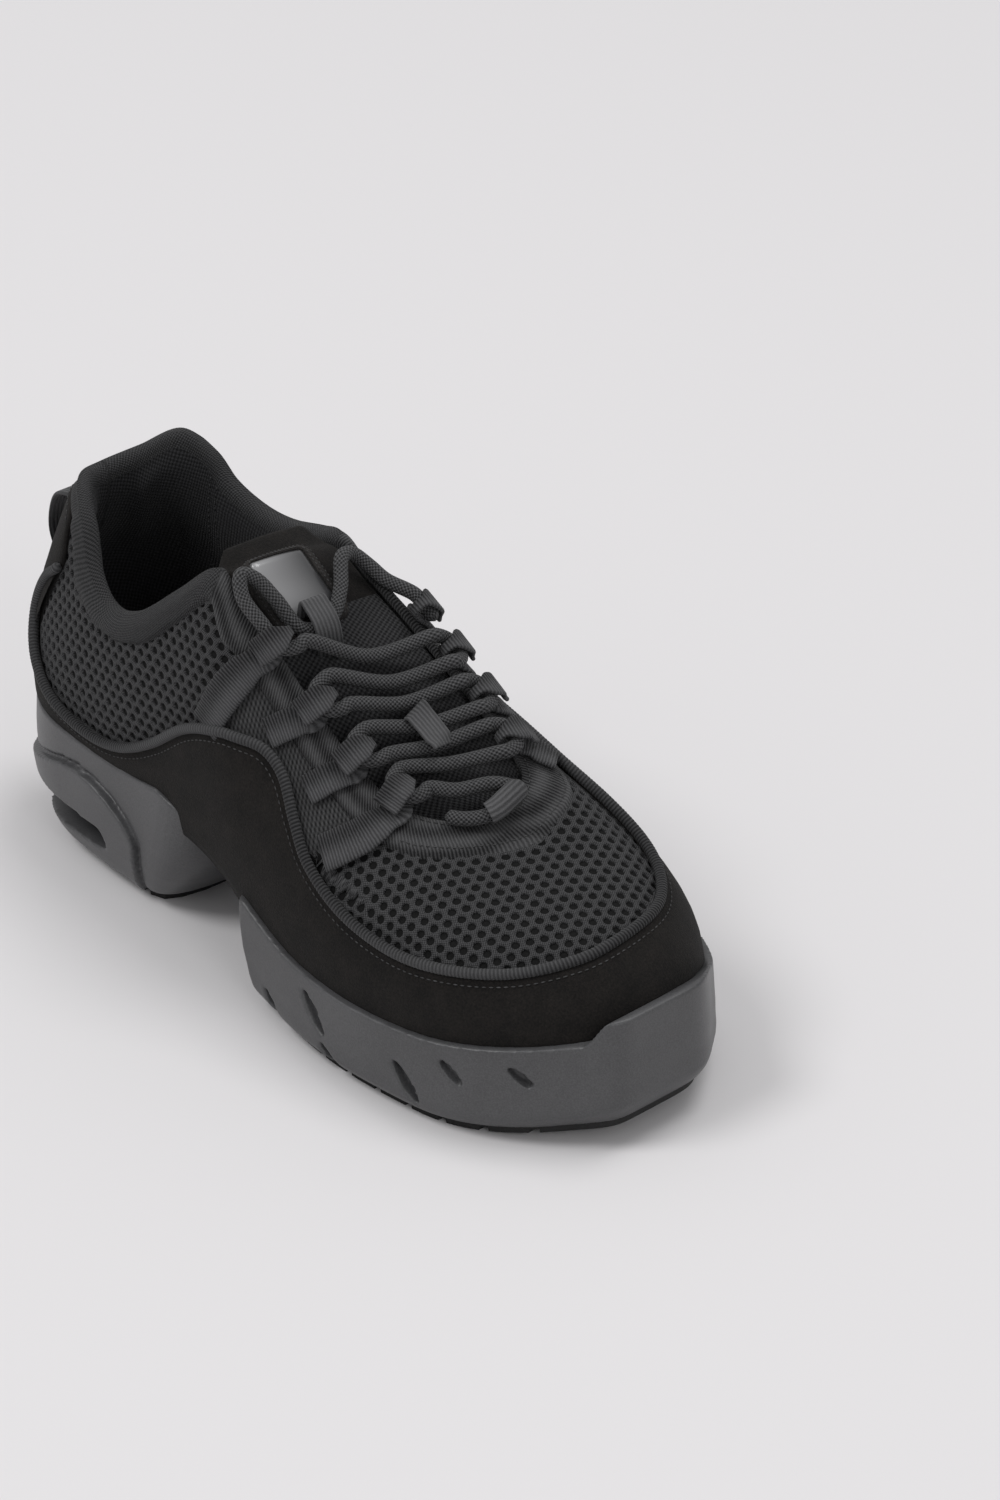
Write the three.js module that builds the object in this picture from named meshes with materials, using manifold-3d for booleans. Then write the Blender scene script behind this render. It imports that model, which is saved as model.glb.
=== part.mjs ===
import * as THREE from 'three';
import { mergeVertices } from 'three/addons/utils/BufferGeometryUtils.js';
import Module from 'manifold-3d';

// A low dance sneaker for the right foot with a split sole: a heel pod and a forefoot platform.
// Millimetres. +X runs to the toe, +Y to the inner side of the foot, +Z up.
// The origin is on the floor, at the middle of the heel tread.

// Driving sizes of the shoe
const shoeLength = 264;
const ballWidth = 92;
const collarHeight = 115;
const instepHeight = 123;
const heelSeat = 35;
const treadCentre = 44;

// Upper and what lies on it
const upperWall = 2.2;
const collarPad = 4.5;
const collarBandWidth = 10;
const collarBandStep = 1.5;
const throatBandWidth = 14;
const throatEndWidth = 9;
const throatBandStep = 1.0;
const flangeWidth = 11;
const pieceGap = 0.3;
const suedeThickness = 1.4;
const pipingRadius = 1.7;
const webbingThickness = 1.3;
const strapWidth = 8.6;
const strapLift = 0.75;
const laceRadius = 2.2;
const laceTurn = 5;

// Sole
const cupWall = 2.6;
const heelLip = 11.5;
const forefootLip = 5.5;
const bumperLip = 14;
const outsoleThickness = 2.4;
const toeSpring = 7;
const archCoverThickness = 1.8;
const podFront = 106;
const forefootRear = 126;
const slotDepth = 13;
const slotHeight = 8.5;
const slotLength = 46;
const panelStep = 1.3;
const slashDepth = 1.8;

// Inside
const insoleThickness = 4;
const insoleGap = 0.6;
const tongueThickness = 5;
const tongueCrown = 3;
const tongueRise = 9;
const badgeLength = 12.5;
const badgeThickness = 1.2;
const tabWidth = 12;
const tabReach = 7;

// Steps of the surfaces
const aroundSteps = 50;
const pipingSteps = 64;
const patchSteps = 54;

const material = (color, roughness) => new THREE.MeshStandardMaterial({ color, roughness, metalness: 0 });
const black = material(0x17181a, 0.85);
const suede = material(0x1d1a18, 0.95);
const webbing = material(0x222325, 0.8);
const foam = material(0x6d6e70, 0.45);
const rubber = material(0x141414, 0.6);
const lining = material(0x202124, 0.9);
const plate = material(0x5c5d5f, 0.5);

// Half widths of the feather line, as shares of the ball width; along is a share of the foot's length
const planRows = [
  { along: 0.00, outer: 0.325, inner: 0.325 },
  { along: 0.10, outer: 0.345, inner: 0.345 },
  { along: 0.20, outer: 0.365, inner: 0.345 },
  { along: 0.30, outer: 0.375, inner: 0.325 },
  { along: 0.42, outer: 0.400, inner: 0.315 },
  { along: 0.52, outer: 0.440, inner: 0.350 },
  { along: 0.62, outer: 0.480, inner: 0.420 },
  { along: 0.70, outer: 0.495, inner: 0.475 },
  { along: 0.78, outer: 0.480, inner: 0.500 },
  { along: 0.86, outer: 0.445, inner: 0.495 },
  { along: 0.93, outer: 0.385, inner: 0.460 },
  { along: 1.00, outer: 0.300, inner: 0.390 },
];

// Height of the feather line, as a share of the heel seat
const seatRows = [
  { along: 0.00, up: 1.00 },
  { along: 0.15, up: 0.985 },
  { along: 0.28, up: 1.00 },
  { along: 0.38, up: 1.06 },
  { along: 0.45, up: 0.97 },
  { along: 0.52, up: 0.76 },
  { along: 0.60, up: 0.615 },
  { along: 0.68, up: 0.585 },
  { along: 0.77, up: 0.60 },
  { along: 0.88, up: 0.685 },
  { along: 1.00, up: 0.83 },
];

// Ends of the foot in the shoe's length, and how much of it the heel and toe rounds take
const heelInset = 0.0095;
const toeInset = 0.0265;
const heelRound = { share: 0.135, power: 2.2 };
const toeRound = { share: 0.20, power: 2.4 };

// The rim: collar topline and throat edge. Around runs 0 at the heel, 1 at the toe end of the throat, and
// back to 2 on the inner side. Along is a share of the shoe's length, across of the ball width; the height
// is made of a share of the collar height and one of the instep height.
const rimRows = [
  { around: 0.00, along: 0.049, across: 0.000, collar: 1.00, instep: 0.00 },
  { around: 0.06, along: 0.057, across: -0.098, collar: 1.00, instep: 0.00 },
  { around: 0.12, along: 0.091, across: -0.185, collar: 0.99, instep: 0.00 },
  { around: 0.17, along: 0.125, across: -0.239, collar: 0.95, instep: 0.00 },
  { around: 0.22, along: 0.159, across: -0.293, collar: 0.60, instep: 0.244 },
  { around: 0.27, along: 0.205, across: -0.326, collar: 0.40, instep: 0.382 },
  { around: 0.33, along: 0.273, across: -0.337, collar: 0.20, instep: 0.618 },
  { around: 0.38, along: 0.333, across: -0.304, collar: 0.00, instep: 0.911 },
  { around: 0.42, along: 0.383, across: -0.272, collar: 0.00, instep: 1.000 },
  { around: 0.47, along: 0.420, across: -0.250, collar: 0.00, instep: 0.927 },
  { around: 0.52, along: 0.462, across: -0.217, collar: 0.00, instep: 0.829 },
  { around: 0.60, along: 0.530, across: -0.196, collar: 0.00, instep: 0.699 },
  { around: 0.68, along: 0.595, across: -0.185, collar: 0.00, instep: 0.610 },
  { around: 0.77, along: 0.648, across: -0.152, collar: 0.00, instep: 0.561 },
  { around: 0.86, along: 0.686, across: -0.065, collar: 0.00, instep: 0.541 },
  { around: 1.00, along: 0.708, across: 0.054, collar: 0.00, instep: 0.545 },
  { around: 1.14, along: 0.708, across: 0.152, collar: 0.00, instep: 0.569 },
  { around: 1.23, along: 0.686, across: 0.217, collar: 0.00, instep: 0.602 },
  { around: 1.32, along: 0.636, across: 0.250, collar: 0.00, instep: 0.650 },
  { around: 1.40, along: 0.568, across: 0.261, collar: 0.00, instep: 0.724 },
  { around: 1.48, along: 0.485, across: 0.261, collar: 0.00, instep: 0.821 },
  { around: 1.53, along: 0.424, across: 0.250, collar: 0.00, instep: 0.894 },
  { around: 1.58, along: 0.371, across: 0.261, collar: 0.00, instep: 0.943 },
  { around: 1.62, along: 0.326, across: 0.293, collar: 0.00, instep: 0.911 },
  { around: 1.67, along: 0.265, across: 0.315, collar: 0.20, instep: 0.683 },
  { around: 1.73, along: 0.205, across: 0.326, collar: 0.40, instep: 0.488 },
  { around: 1.78, along: 0.163, across: 0.315, collar: 0.70, instep: 0.240 },
  { around: 1.83, along: 0.136, across: 0.293, collar: 1.025, instep: 0.00 },
  { around: 1.88, along: 0.106, across: 0.228, collar: 1.085, instep: 0.00 },
  { around: 1.94, along: 0.064, across: 0.130, collar: 1.025, instep: 0.00 },
];

// The rib that climbs from the feather line to the rim: how far its lower handle rises and stands out, and
// how far its upper handle reaches out and drops, as shares of the ball width
const ribRows = [
  { around: 0.00, rise: 0.36, bulge: 0.140, reach: 0.09, drop: 0.28 },
  { around: 0.06, rise: 0.35, bulge: 0.138, reach: 0.09, drop: 0.28 },
  { around: 0.12, rise: 0.31, bulge: 0.112, reach: 0.06, drop: 0.28 },
  { around: 0.17, rise: 0.27, bulge: 0.080, reach: 0.04, drop: 0.26 },
  { around: 0.22, rise: 0.24, bulge: 0.054, reach: 0.04, drop: 0.20 },
  { around: 0.27, rise: 0.22, bulge: 0.054, reach: 0.04, drop: 0.17 },
  { around: 0.33, rise: 0.22, bulge: 0.054, reach: 0.05, drop: 0.20 },
  { around: 0.38, rise: 0.24, bulge: 0.043, reach: 0.08, drop: 0.22 },
  { around: 0.42, rise: 0.26, bulge: 0.043, reach: 0.11, drop: 0.20 },
  { around: 0.47, rise: 0.26, bulge: 0.043, reach: 0.13, drop: 0.15 },
  { around: 0.52, rise: 0.26, bulge: 0.043, reach: 0.14, drop: 0.12 },
  { around: 0.60, rise: 0.26, bulge: 0.043, reach: 0.16, drop: 0.10 },
  { around: 0.68, rise: 0.26, bulge: 0.043, reach: 0.17, drop: 0.08 },
  { around: 0.77, rise: 0.26, bulge: 0.043, reach: 0.22, drop: 0.065 },
  { around: 0.86, rise: 0.27, bulge: 0.033, reach: 0.35, drop: 0.087 },
  { around: 1.00, rise: 0.28, bulge: 0.022, reach: 0.48, drop: 0.109 },
  { around: 1.14, rise: 0.27, bulge: 0.033, reach: 0.37, drop: 0.087 },
  { around: 1.23, rise: 0.27, bulge: 0.043, reach: 0.26, drop: 0.065 },
  { around: 1.32, rise: 0.28, bulge: 0.043, reach: 0.20, drop: 0.076 },
  { around: 1.40, rise: 0.29, bulge: 0.043, reach: 0.16, drop: 0.10 },
  { around: 1.48, rise: 0.30, bulge: 0.043, reach: 0.13, drop: 0.12 },
  { around: 1.53, rise: 0.29, bulge: 0.043, reach: 0.11, drop: 0.15 },
  { around: 1.58, rise: 0.28, bulge: 0.043, reach: 0.10, drop: 0.17 },
  { around: 1.62, rise: 0.26, bulge: 0.043, reach: 0.08, drop: 0.20 },
  { around: 1.67, rise: 0.24, bulge: 0.054, reach: 0.05, drop: 0.20 },
  { around: 1.73, rise: 0.24, bulge: 0.054, reach: 0.04, drop: 0.20 },
  { around: 1.78, rise: 0.25, bulge: 0.054, reach: 0.04, drop: 0.22 },
  { around: 1.83, rise: 0.27, bulge: 0.070, reach: 0.04, drop: 0.26 },
  { around: 1.88, rise: 0.30, bulge: 0.100, reach: 0.05, drop: 0.28 },
  { around: 1.94, rise: 0.34, bulge: 0.130, reach: 0.08, drop: 0.28 },
];

// The piping line over the side, from where it leaves the collar band on the outer side, down behind the
// mesh panel, over the arch, round the vamp and back. Up is a share of the rib; root is where the suede
// below it starts on the feather line.
const pipingRows = [
  { root: 0.088, around: 0.142, up: 0.74 },
  { root: 0.094, around: 0.118, up: 0.63 },
  { root: 0.100, around: 0.104, up: 0.51 },
  { root: 0.108, around: 0.108, up: 0.41 },
  { root: 0.132, around: 0.142, up: 0.325 },
  { root: 0.175, around: 0.190, up: 0.285 },
  { root: 0.240, around: 0.250, up: 0.275 },
  { root: 0.310, around: 0.315, up: 0.290 },
  { root: 0.370, around: 0.370, up: 0.345 },
  { root: 0.425, around: 0.425, up: 0.425 },
  { root: 0.485, around: 0.485, up: 0.56 },
  { root: 0.525, around: 0.528, up: 0.645 },
  { root: 0.553, around: 0.558, up: 0.64 },
  { root: 0.580, around: 0.578, up: 0.55 },
  { root: 0.605, around: 0.600, up: 0.46 },
  { root: 0.650, around: 0.650, up: 0.385 },
  { root: 0.720, around: 0.720, up: 0.355 },
  { root: 0.820, around: 0.820, up: 0.365 },
  { root: 0.920, around: 0.920, up: 0.420 },
  { root: 1.020, around: 1.020, up: 0.470 },
  { root: 1.120, around: 1.120, up: 0.470 },
  { root: 1.200, around: 1.200, up: 0.52 },
  { root: 1.260, around: 1.260, up: 0.63 },
  { root: 1.320, around: 1.320, up: 0.72 },
  { root: 1.400, around: 1.400, up: 0.73 },
  { root: 1.470, around: 1.465, up: 0.68 },
  { root: 1.520, around: 1.520, up: 0.59 },
  { root: 1.590, around: 1.590, up: 0.46 },
  { root: 1.670, around: 1.670, up: 0.36 },
  { root: 1.750, around: 1.745, up: 0.295 },
  { root: 1.825, around: 1.812, up: 0.290 },
  { root: 1.868, around: 1.858, up: 0.325 },
  { root: 1.892, around: 1.892, up: 0.41 },
  { root: 1.900, around: 1.896, up: 0.51 },
  { root: 1.906, around: 1.882, up: 0.63 },
  { root: 1.912, around: 1.858, up: 0.74 },
];

// The suede over the heel, between the two ends of the piping, up to the collar
const heelRows = [
  { root: 1.930, around: 1.871, up: 0.84 },
  { root: 1.950, around: 1.882, up: 0.93 },
  { root: 1.975, around: 1.920, up: 0.958 },
  { root: 2.000, around: 2.000, up: 0.962 },
  { root: 2.025, around: 2.080, up: 0.958 },
  { root: 2.050, around: 2.118, up: 0.93 },
  { root: 2.070, around: 2.129, up: 0.84 },
];

// Side straps: root is the lower end at the piping, eye is where the lace turns; shares as above
const strapRows = [
  { name: 'strap_outer_1', root: 0.450, up: 0.53, eye: 0.508 },
  { name: 'strap_outer_2', root: 0.530, up: 0.70, eye: 0.580 },
  { name: 'strap_outer_3', root: 0.583, up: 0.62, eye: 0.652 },
  { name: 'strap_outer_4', root: 0.630, up: 0.47, eye: 0.742 },
  { name: 'strap_inner_1', root: 1.500, up: 0.71, eye: 1.475 },
  { name: 'strap_inner_2', root: 1.440, up: 0.77, eye: 1.425 },
  { name: 'strap_inner_3', root: 1.375, up: 0.80, eye: 1.365 },
  { name: 'strap_inner_4', root: 1.280, up: 0.81, eye: 1.288 },
];

// Heel pod: size of each level against the lip, and where it turns at the ends
const podRows = [
  { level: 0.00, rear: 0.74, front: 0.58, side: 0.80 },
  { level: 0.05, rear: 0.79, front: 0.64, side: 0.85 },
  { level: 0.22, rear: 0.89, front: 0.75, side: 0.93 },
  { level: 0.45, rear: 0.97, front: 0.86, side: 0.985 },
  { level: 0.70, rear: 1.00, front: 0.945, side: 1.00 },
  { level: 1.00, rear: 0.985, front: 1.00, side: 0.985 },
];

// Forefoot platform: how far each level stands out past the lip, as a share of the ball width
const platformRows = [
  { level: 0.00, flare: -0.018 },
  { level: 0.08, flare: 0.004 },
  { level: 0.35, flare: 0.010 },
  { level: 0.70, flare: 0.004 },
  { level: 1.00, flare: -0.003 },
];

// Slashes in the platform's side: place as shares of the shoe's length and of the platform's height
const slashRows = [
  { along: 0.567, up: 0.22, length: 15, lean: 43 },
  { along: 0.645, up: 0.62, length: 17, lean: 42 },
  { along: 0.675, up: 0.20, length: 13, lean: 36 },
  { along: 0.787, up: 0.42, length: 16, lean: 46 },
  { along: 0.838, up: 0.70, length: 12, lean: 41 },
  { along: 0.902, up: 0.72, length: 11.5, lean: 38 },
];

// Places between the lace's turns: along as a share of the shoe's length, across of the ball width, lift in
// lace radii above the line that joins both edges of the throat
const laceRows = [
  { name: 'inner top', along: 0.446, across: 0.283, lift: 2.3 },
  { name: 'inner top', along: 0.422, across: 0.262, lift: 2.9 },
  { name: 'inner top', along: 0.411, across: 0.205, lift: 3.0 },
  { name: 'inner top', along: 0.420, across: 0.140, lift: 2.4 },
  { name: 'under the loop', along: 0.446, across: 0.075, lift: 1.4 },
  { name: 'under the loop', along: 0.462, across: 0.010, lift: 1.0 },
  { name: 'under the loop', along: 0.468, across: -0.060, lift: 1.0 },
  { name: 'under the loop', along: 0.460, across: -0.125, lift: 1.2 },
  { name: 'outer top', along: 0.436, across: -0.165, lift: 2.2 },
  { name: 'outer top', along: 0.418, across: -0.200, lift: 2.8 },
  { name: 'outer top', along: 0.411, across: -0.240, lift: 2.8 },
  { name: 'outer top', along: 0.424, across: -0.268, lift: 2.6 },
  { name: 'toe', along: 0.674, across: -0.020, lift: 1.5 },
  { name: 'toe', along: 0.697, across: 0.080, lift: 1.7 },
  { name: 'toe', along: 0.713, across: 0.135, lift: 1.9 },
  { name: 'toe', along: 0.723, across: 0.085, lift: 2.0 },
  { name: 'toe', along: 0.719, across: 0.000, lift: 1.9 },
  { name: 'toe', along: 0.703, across: -0.055, lift: 1.6 },
  { name: 'toe', along: 0.684, across: -0.090, lift: 1.4 },
];

// Helpers
const vec = (x, y, z) => new THREE.Vector3(x, y, z);
const mix = (from, to, share) => from + (to - from) * share;
const wrap = (around) => ((around % 2) + 2) % 2;
const fold = (around) => Math.min(wrap(around), 2 - wrap(around));

function ramp(value, start, end) {
  const share = Math.min(1, Math.max(0, (value - start) / (end - start)));
  return share * share * (3 - 2 * share);
}

// A smooth curve through the rows of a table, read at any place of its key column; a period closes it
function smoothTable(rows, key, period = 0) {
  const moved = (row, by) => ({ ...row, [key]: row[key] + by });
  const before = rows.slice(-2).map((row) => moved(row, -period));
  const after = rows.slice(0, 2).map((row) => moved(row, period));
  const all = period ? [...before, ...rows, ...after] : rows;
  const columns = Object.keys(rows[0]).filter((name) => typeof rows[0][name] === 'number' && name !== key);
  const steep = (name, i) => (all[i + 1][name] - all[i][name]) / (all[i + 1][key] - all[i][key]);
  const slope = (name, i) => {
    if (i === 0) return steep(name, 0);
    if (i === all.length - 1) return steep(name, i - 1);
    const back = all[i][key] - all[i - 1][key];
    const ahead = all[i + 1][key] - all[i][key];
    return (steep(name, i - 1) * ahead + steep(name, i) * back) / (back + ahead);
  };
  return (place) => {
    const at = period ? ((place % period) + period) % period : place;
    let i = 0;
    while (i < all.length - 2 && all[i + 1][key] <= at) i += 1;
    const span = all[i + 1][key] - all[i][key];
    const t = (at - all[i][key]) / span;
    const value = {};
    for (const name of columns) {
      const start = all[i][name] * (1 + 2 * t) * (1 - t) ** 2 + slope(name, i) * span * t * (1 - t) ** 2;
      const end = all[i + 1][name] * t * t * (3 - 2 * t) + slope(name, i + 1) * span * t * t * (t - 1);
      value[name] = start + end;
    }
    return value;
  };
}

// The shoe's surface: ribs that climb from the feather line to the rim
const planAt = smoothTable(planRows, 'along');
const seatAt = smoothTable(seatRows, 'along');
const rimAt = smoothTable(rimRows, 'around', 2);
const ribAt = smoothTable(ribRows, 'around', 2);
const footStart = heelInset * shoeLength - treadCentre;
const footLength = (1 - heelInset - toeInset) * shoeLength;
const footX = (along) => along * shoeLength - treadCentre;
const shareOf = (x) => Math.min(1, Math.max(0, (x - footStart) / footLength));
const aroundOf = (x) => Math.acos(1 - 2 * shareOf(x)) / Math.PI;
const seatHeight = (x) => seatAt(shareOf(x)).up * heelSeat;

function endWidth(share) {
  const heel = Math.max(0, 1 - share / heelRound.share);
  const toe = Math.max(0, (share - 1 + toeRound.share) / toeRound.share);
  const heelWidth = Math.max(0, 1 - heel ** heelRound.power) ** (1 / heelRound.power);
  return heelWidth * Math.max(0, 1 - toe ** toeRound.power) ** (1 / toeRound.power);
}

function footPoint(around) {
  const share = 0.5 - 0.5 * Math.cos(Math.PI * around);
  const outer = wrap(around) <= 1;
  const half = (outer ? -planAt(share).outer : planAt(share).inner) * ballWidth * endWidth(share);
  return vec(footStart + share * footLength, half, seatAt(share).up * heelSeat);
}

function outwardAt(around) {
  const step = 0.001;
  const change = footPoint(around + step).sub(footPoint(around - step));
  return vec(change.y, -change.x, 0).normalize();
}

function ribHandles(around) {
  const foot = footPoint(around);
  const outward = outwardAt(around);
  const rim = rimAt(around);
  const rib = ribAt(around);
  const height = rim.collar * collarHeight + rim.instep * instepHeight;
  const top = vec(footX(rim.along), rim.across * ballWidth, height);
  const spread = outward.clone().multiplyScalar(0.22 * ballWidth);
  const away = foot.clone().sub(top).add(spread).setZ(0).normalize();
  const low = foot.clone().addScaledVector(outward, rib.bulge * ballWidth);
  const high = top.clone().addScaledVector(away, rib.reach * ballWidth);
  low.z += rib.rise * ballWidth;
  high.z -= rib.drop * ballWidth;
  return [foot, low, high, top];
}

function ribPoint(around, up) {
  const [foot, low, high, top] = ribHandles(around);
  const down = 1 - up;
  const point = foot.multiplyScalar(down ** 3);
  point.addScaledVector(low, 3 * up * down * down);
  point.addScaledVector(high, 3 * up * up * down);
  return point.addScaledVector(top, up ** 3);
}

function slopesAt(around, up) {
  const step = 0.002;
  const middle = Math.min(1 - step, Math.max(step, up));
  const along = ribPoint(around + step, up).sub(ribPoint(around - step, up)).divideScalar(2 * step);
  const climb = ribPoint(around, middle + step).sub(ribPoint(around, middle - step)).divideScalar(2 * step);
  return { along, climb, normal: along.clone().cross(climb).normalize() };
}

function surfacePoint(around, up, lift) {
  return ribPoint(around, up).addScaledVector(slopesAt(around, up).normal, lift);
}

// The share of the rib at a distance below the rim, measured square to the rim
function upBelowRim(around, distance) {
  const { along, climb } = slopesAt(around, 1);
  const slant = along.normalize().cross(climb.clone().normalize()).length();
  let length = 0;
  for (let i = 0; i < 10; i += 1) {
    length += ribPoint(around, i / 10).distanceTo(ribPoint(around, (i + 1) / 10));
  }
  return 1 - distance / (length * slant);
}

// The knitted band round the collar and the edging of the throat, both a step in the upper's wall
const throatShare = (around) => ramp(fold(around), 0.39, 0.46);

function bandAt(around) {
  const throat = throatShare(around);
  const throatWidth = mix(throatBandWidth, throatEndWidth, ramp(fold(around), 0.76, 0.9));
  const collarStep = collarBandStep * ramp(fold(around), 0.132, 0.152);
  const width = mix(collarBandWidth, throatWidth, throat);
  return { start: upBelowRim(around, width), step: mix(collarStep, throatBandStep, throat) };
}

function outerLift(around, up) {
  const { start, step } = bandAt(around);
  return step * ramp(up, start - 0.03, start + 0.03);
}

function wallDepth(around, up) {
  const pad = collarPad * (1 - throatShare(around));
  return upperWall + pad * ramp(up, 0.5, 0.78) * (1 - 0.4 * ramp(up, 0.88, 1));
}

// Closed solids from rows of points
function buildGeometry(points, faces) {
  const geometry = new THREE.BufferGeometry();
  let volume = 0;
  for (const [a, b, c] of faces) {
    volume += points[a].dot(points[b].clone().cross(points[c]));
  }
  const ordered = volume > 0 ? faces : faces.map(([a, b, c]) => [a, c, b]);
  geometry.setAttribute('position', new THREE.Float32BufferAttribute(points.flatMap((p) => p.toArray()), 3));
  geometry.setIndex(ordered.flat());
  return geometry;
}

// Sections joined one after another, each a closed outline; the row of sections may itself close
function joinSections(sections, closed) {
  const count = sections[0].length;
  const points = sections.flat();
  const faces = [];
  const last = closed ? sections.length : sections.length - 1;
  for (let i = 0; i < last; i += 1) {
    const next = (i + 1) % sections.length;
    for (let j = 0; j < count; j += 1) {
      const a = i * count + j;
      const b = i * count + (j + 1) % count;
      const c = next * count + (j + 1) % count;
      const d = next * count + j;
      faces.push([a, b, c], [a, c, d]);
    }
  }
  if (!closed) {
    for (const [i, turn] of [[0, -1], [sections.length - 1, 1]]) {
      const centre = sections[i].reduce((sum, point) => sum.add(point), vec(0, 0, 0)).divideScalar(count);
      points.push(centre);
      for (let j = 0; j < count; j += 1) {
        const edge = [i * count + j, i * count + (j + 1) % count];
        if (turn < 0) edge.reverse();
        faces.push([...edge, points.length - 1]);
      }
    }
  }
  return buildGeometry(points, faces);
}

// Rings one above another, each an even outline whose two halves mirror in order; both ends are closed
// straight across, from one side to the other
function stackRings(rings) {
  const count = rings[0].length;
  const faces = [];
  for (let i = 0; i < rings.length - 1; i += 1) {
    for (let j = 0; j < count; j += 1) {
      const a = i * count + j;
      const b = i * count + (j + 1) % count;
      faces.push([a, b, b + count], [a, b + count, a + count]);
    }
  }
  for (const [row, turn] of [[0, -1], [rings.length - 1, 1]]) {
    const at = (j) => row * count + (j % count);
    for (let j = 0; j < count / 2; j += 1) {
      const quad = [at(j), at(j + 1), at(count - j - 1), at(count - j)];
      if (turn < 0) quad.reverse();
      const [a, b, c, d] = quad;
      if (a !== b && b !== c && a !== c) faces.push([a, b, c]);
      if (a !== c && c !== d && a !== d) faces.push([a, c, d]);
    }
  }
  return buildGeometry(rings.flat(), faces);
}

// Cuts and joins
const wasm = await Module();
wasm.setup();

function toSolid(geometry) {
  const bare = geometry.clone();
  bare.deleteAttribute('normal');
  bare.deleteAttribute('uv');
  const merged = mergeVertices(bare, 1e-5);
  const mesh = new wasm.Mesh({
    numProp: 3,
    vertProperties: new Float32Array(merged.attributes.position.array),
    triVerts: new Uint32Array(merged.index.array),
  });
  return new wasm.Manifold(mesh);
}

function toGeometry(solid) {
  const mesh = solid.getMesh();
  const geometry = new THREE.BufferGeometry();
  geometry.setAttribute('position', new THREE.BufferAttribute(new Float32Array(mesh.vertProperties), 3));
  geometry.setIndex(new THREE.BufferAttribute(new Uint32Array(mesh.triVerts), 1));
  return geometry;
}

const shoe = new THREE.Group();

function addPiece(name, geometry, pieceMaterial) {
  const mesh = new THREE.Mesh(geometry, pieceMaterial);
  mesh.name = name;
  shoe.add(mesh);
}

// Places up a rib, from the feather line to the rim, with the step of the band on top
const bodyShares = [0, 0.1, 0.24, 0.4, 0.58, 0.78, 0.98];

function outerPlaces(around) {
  const { start, step } = bandAt(around);
  const body = bodyShares.map((share) => ({ up: share * start, lift: 0 }));
  const bandLow = { up: start + 0.02, lift: step };
  const bandMiddle = { up: mix(start, 1, 0.55), lift: step };
  return [...body, bandLow, bandMiddle, { up: 0.99, lift: 0.7 * step }];
}

// A point on the seat, a distance out from the feather line
function seatPoint(around, out, height) {
  const place = footPoint(around).addScaledVector(outwardAt(around), out);
  return place.setZ(seatHeight(place.x) + height);
}

// The upper: one hollow wall with a turned-in flange below and the collar's pad above
function upperSection(around) {
  const section = outerPlaces(around).map(({ up, lift }) => surfacePoint(around, up, lift));
  const rimStep = 0.7 * bandAt(around).step;
  const top = surfacePoint(around, 1, (rimStep - wallDepth(around, 1)) / 2);
  section.push(top.setZ(top.z + 0.3 * wallDepth(around, 1)));
  for (const up of [0.985, 0.92, 0.8, 0.66, 0.48, 0.28, 0.1]) {
    section.push(surfacePoint(around, up, -wallDepth(around, up)));
  }
  section.push(seatPoint(around, -upperWall, upperWall));
  section.push(seatPoint(around, -flangeWidth, upperWall), seatPoint(around, -flangeWidth, 0));
  return section;
}

const aroundList = Array.from({ length: aroundSteps }, (unused, i) => 2 * i / aroundSteps);
addPiece('upper', joinSections(aroundList.map(upperSection), true), black);

// A solid form of the upper's outside, grown by a lift, down to a depth below the seat
function upperForm(grow, depth, firstRow, lastRow) {
  const places = aroundList.map((around) => outerPlaces(around).slice(firstRow, lastRow));
  const rings = places[0].map((unused, row) => aroundList.map((around, i) => {
    const { up, lift } = places[i][row];
    return surfacePoint(around, up, lift + grow);
  }));
  const floor = aroundList.map((around) => seatPoint(around, grow, -depth));
  return toSolid(stackRings([floor, ...rings]));
}

// The piping's line and the suede below it, read by row number; the heel part closes the loop
const loopRows = [...pipingRows, ...heelRows];
const rowCount = loopRows.length;
const numbered = (row, index, by) => ({ ...row, index, root: row.root + by, around: row.around + by });
const lineRows = [
  numbered(loopRows[rowCount - 1], -1, -2),
  ...loopRows.map((row, index) => numbered(row, index, 0)),
  numbered(loopRows[0], rowCount, 2),
  numbered(loopRows[1], rowCount + 1, 2),
];
const lineAt = smoothTable(lineRows, 'index');
const pipingEnd = pipingRows.length - 1;

// The suede covers the side below the piping: a patch between two forms of the upper, cut clear of the
// piping
const suedeOut = pieceGap + suedeThickness;
const edgeClear = pipingRadius + 3 * pieceGap;

function patchSection(index) {
  const { root, around, up } = lineAt(index);
  const ahead = lineAt(index + 0.05);
  const run = ribPoint(ahead.around, ahead.up).sub(ribPoint(around, up));
  const below = run.cross(slopesAt(around, up).normal).setLength(edgeClear);
  const low = -0.05;
  const column = (lift) => {
    const inside = [0, 0.14, 0.34, 0.56, 0.78].map((share) => {
      return surfacePoint(mix(root, around, share), mix(low, up, share), lift);
    });
    return [...inside, surfacePoint(around, up, lift).add(below)];
  };
  return [...column(2 * suedeOut), ...column(-suedeOut).reverse()];
}

// Swept pieces: a route is read evenly by its own measure
class Route extends THREE.Curve {
  constructor(place) {
    super();
    this.place = place;
  }

  getPoint(share, target = new THREE.Vector3()) {
    return target.copy(this.place(share));
  }

  getPointAt(share, target) {
    return this.getPoint(share, target);
  }

  getTangentAt(share, target) {
    return this.getTangent(share, target);
  }
}

function roundShape(radius, sides) {
  const centre = new THREE.Vector2();
  const corner = (i) => new THREE.Vector2(radius, 0).rotateAround(centre, 2 * Math.PI * i / sides);
  return new THREE.Shape(Array.from({ length: sides }, (unused, i) => corner(i)));
}

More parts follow.
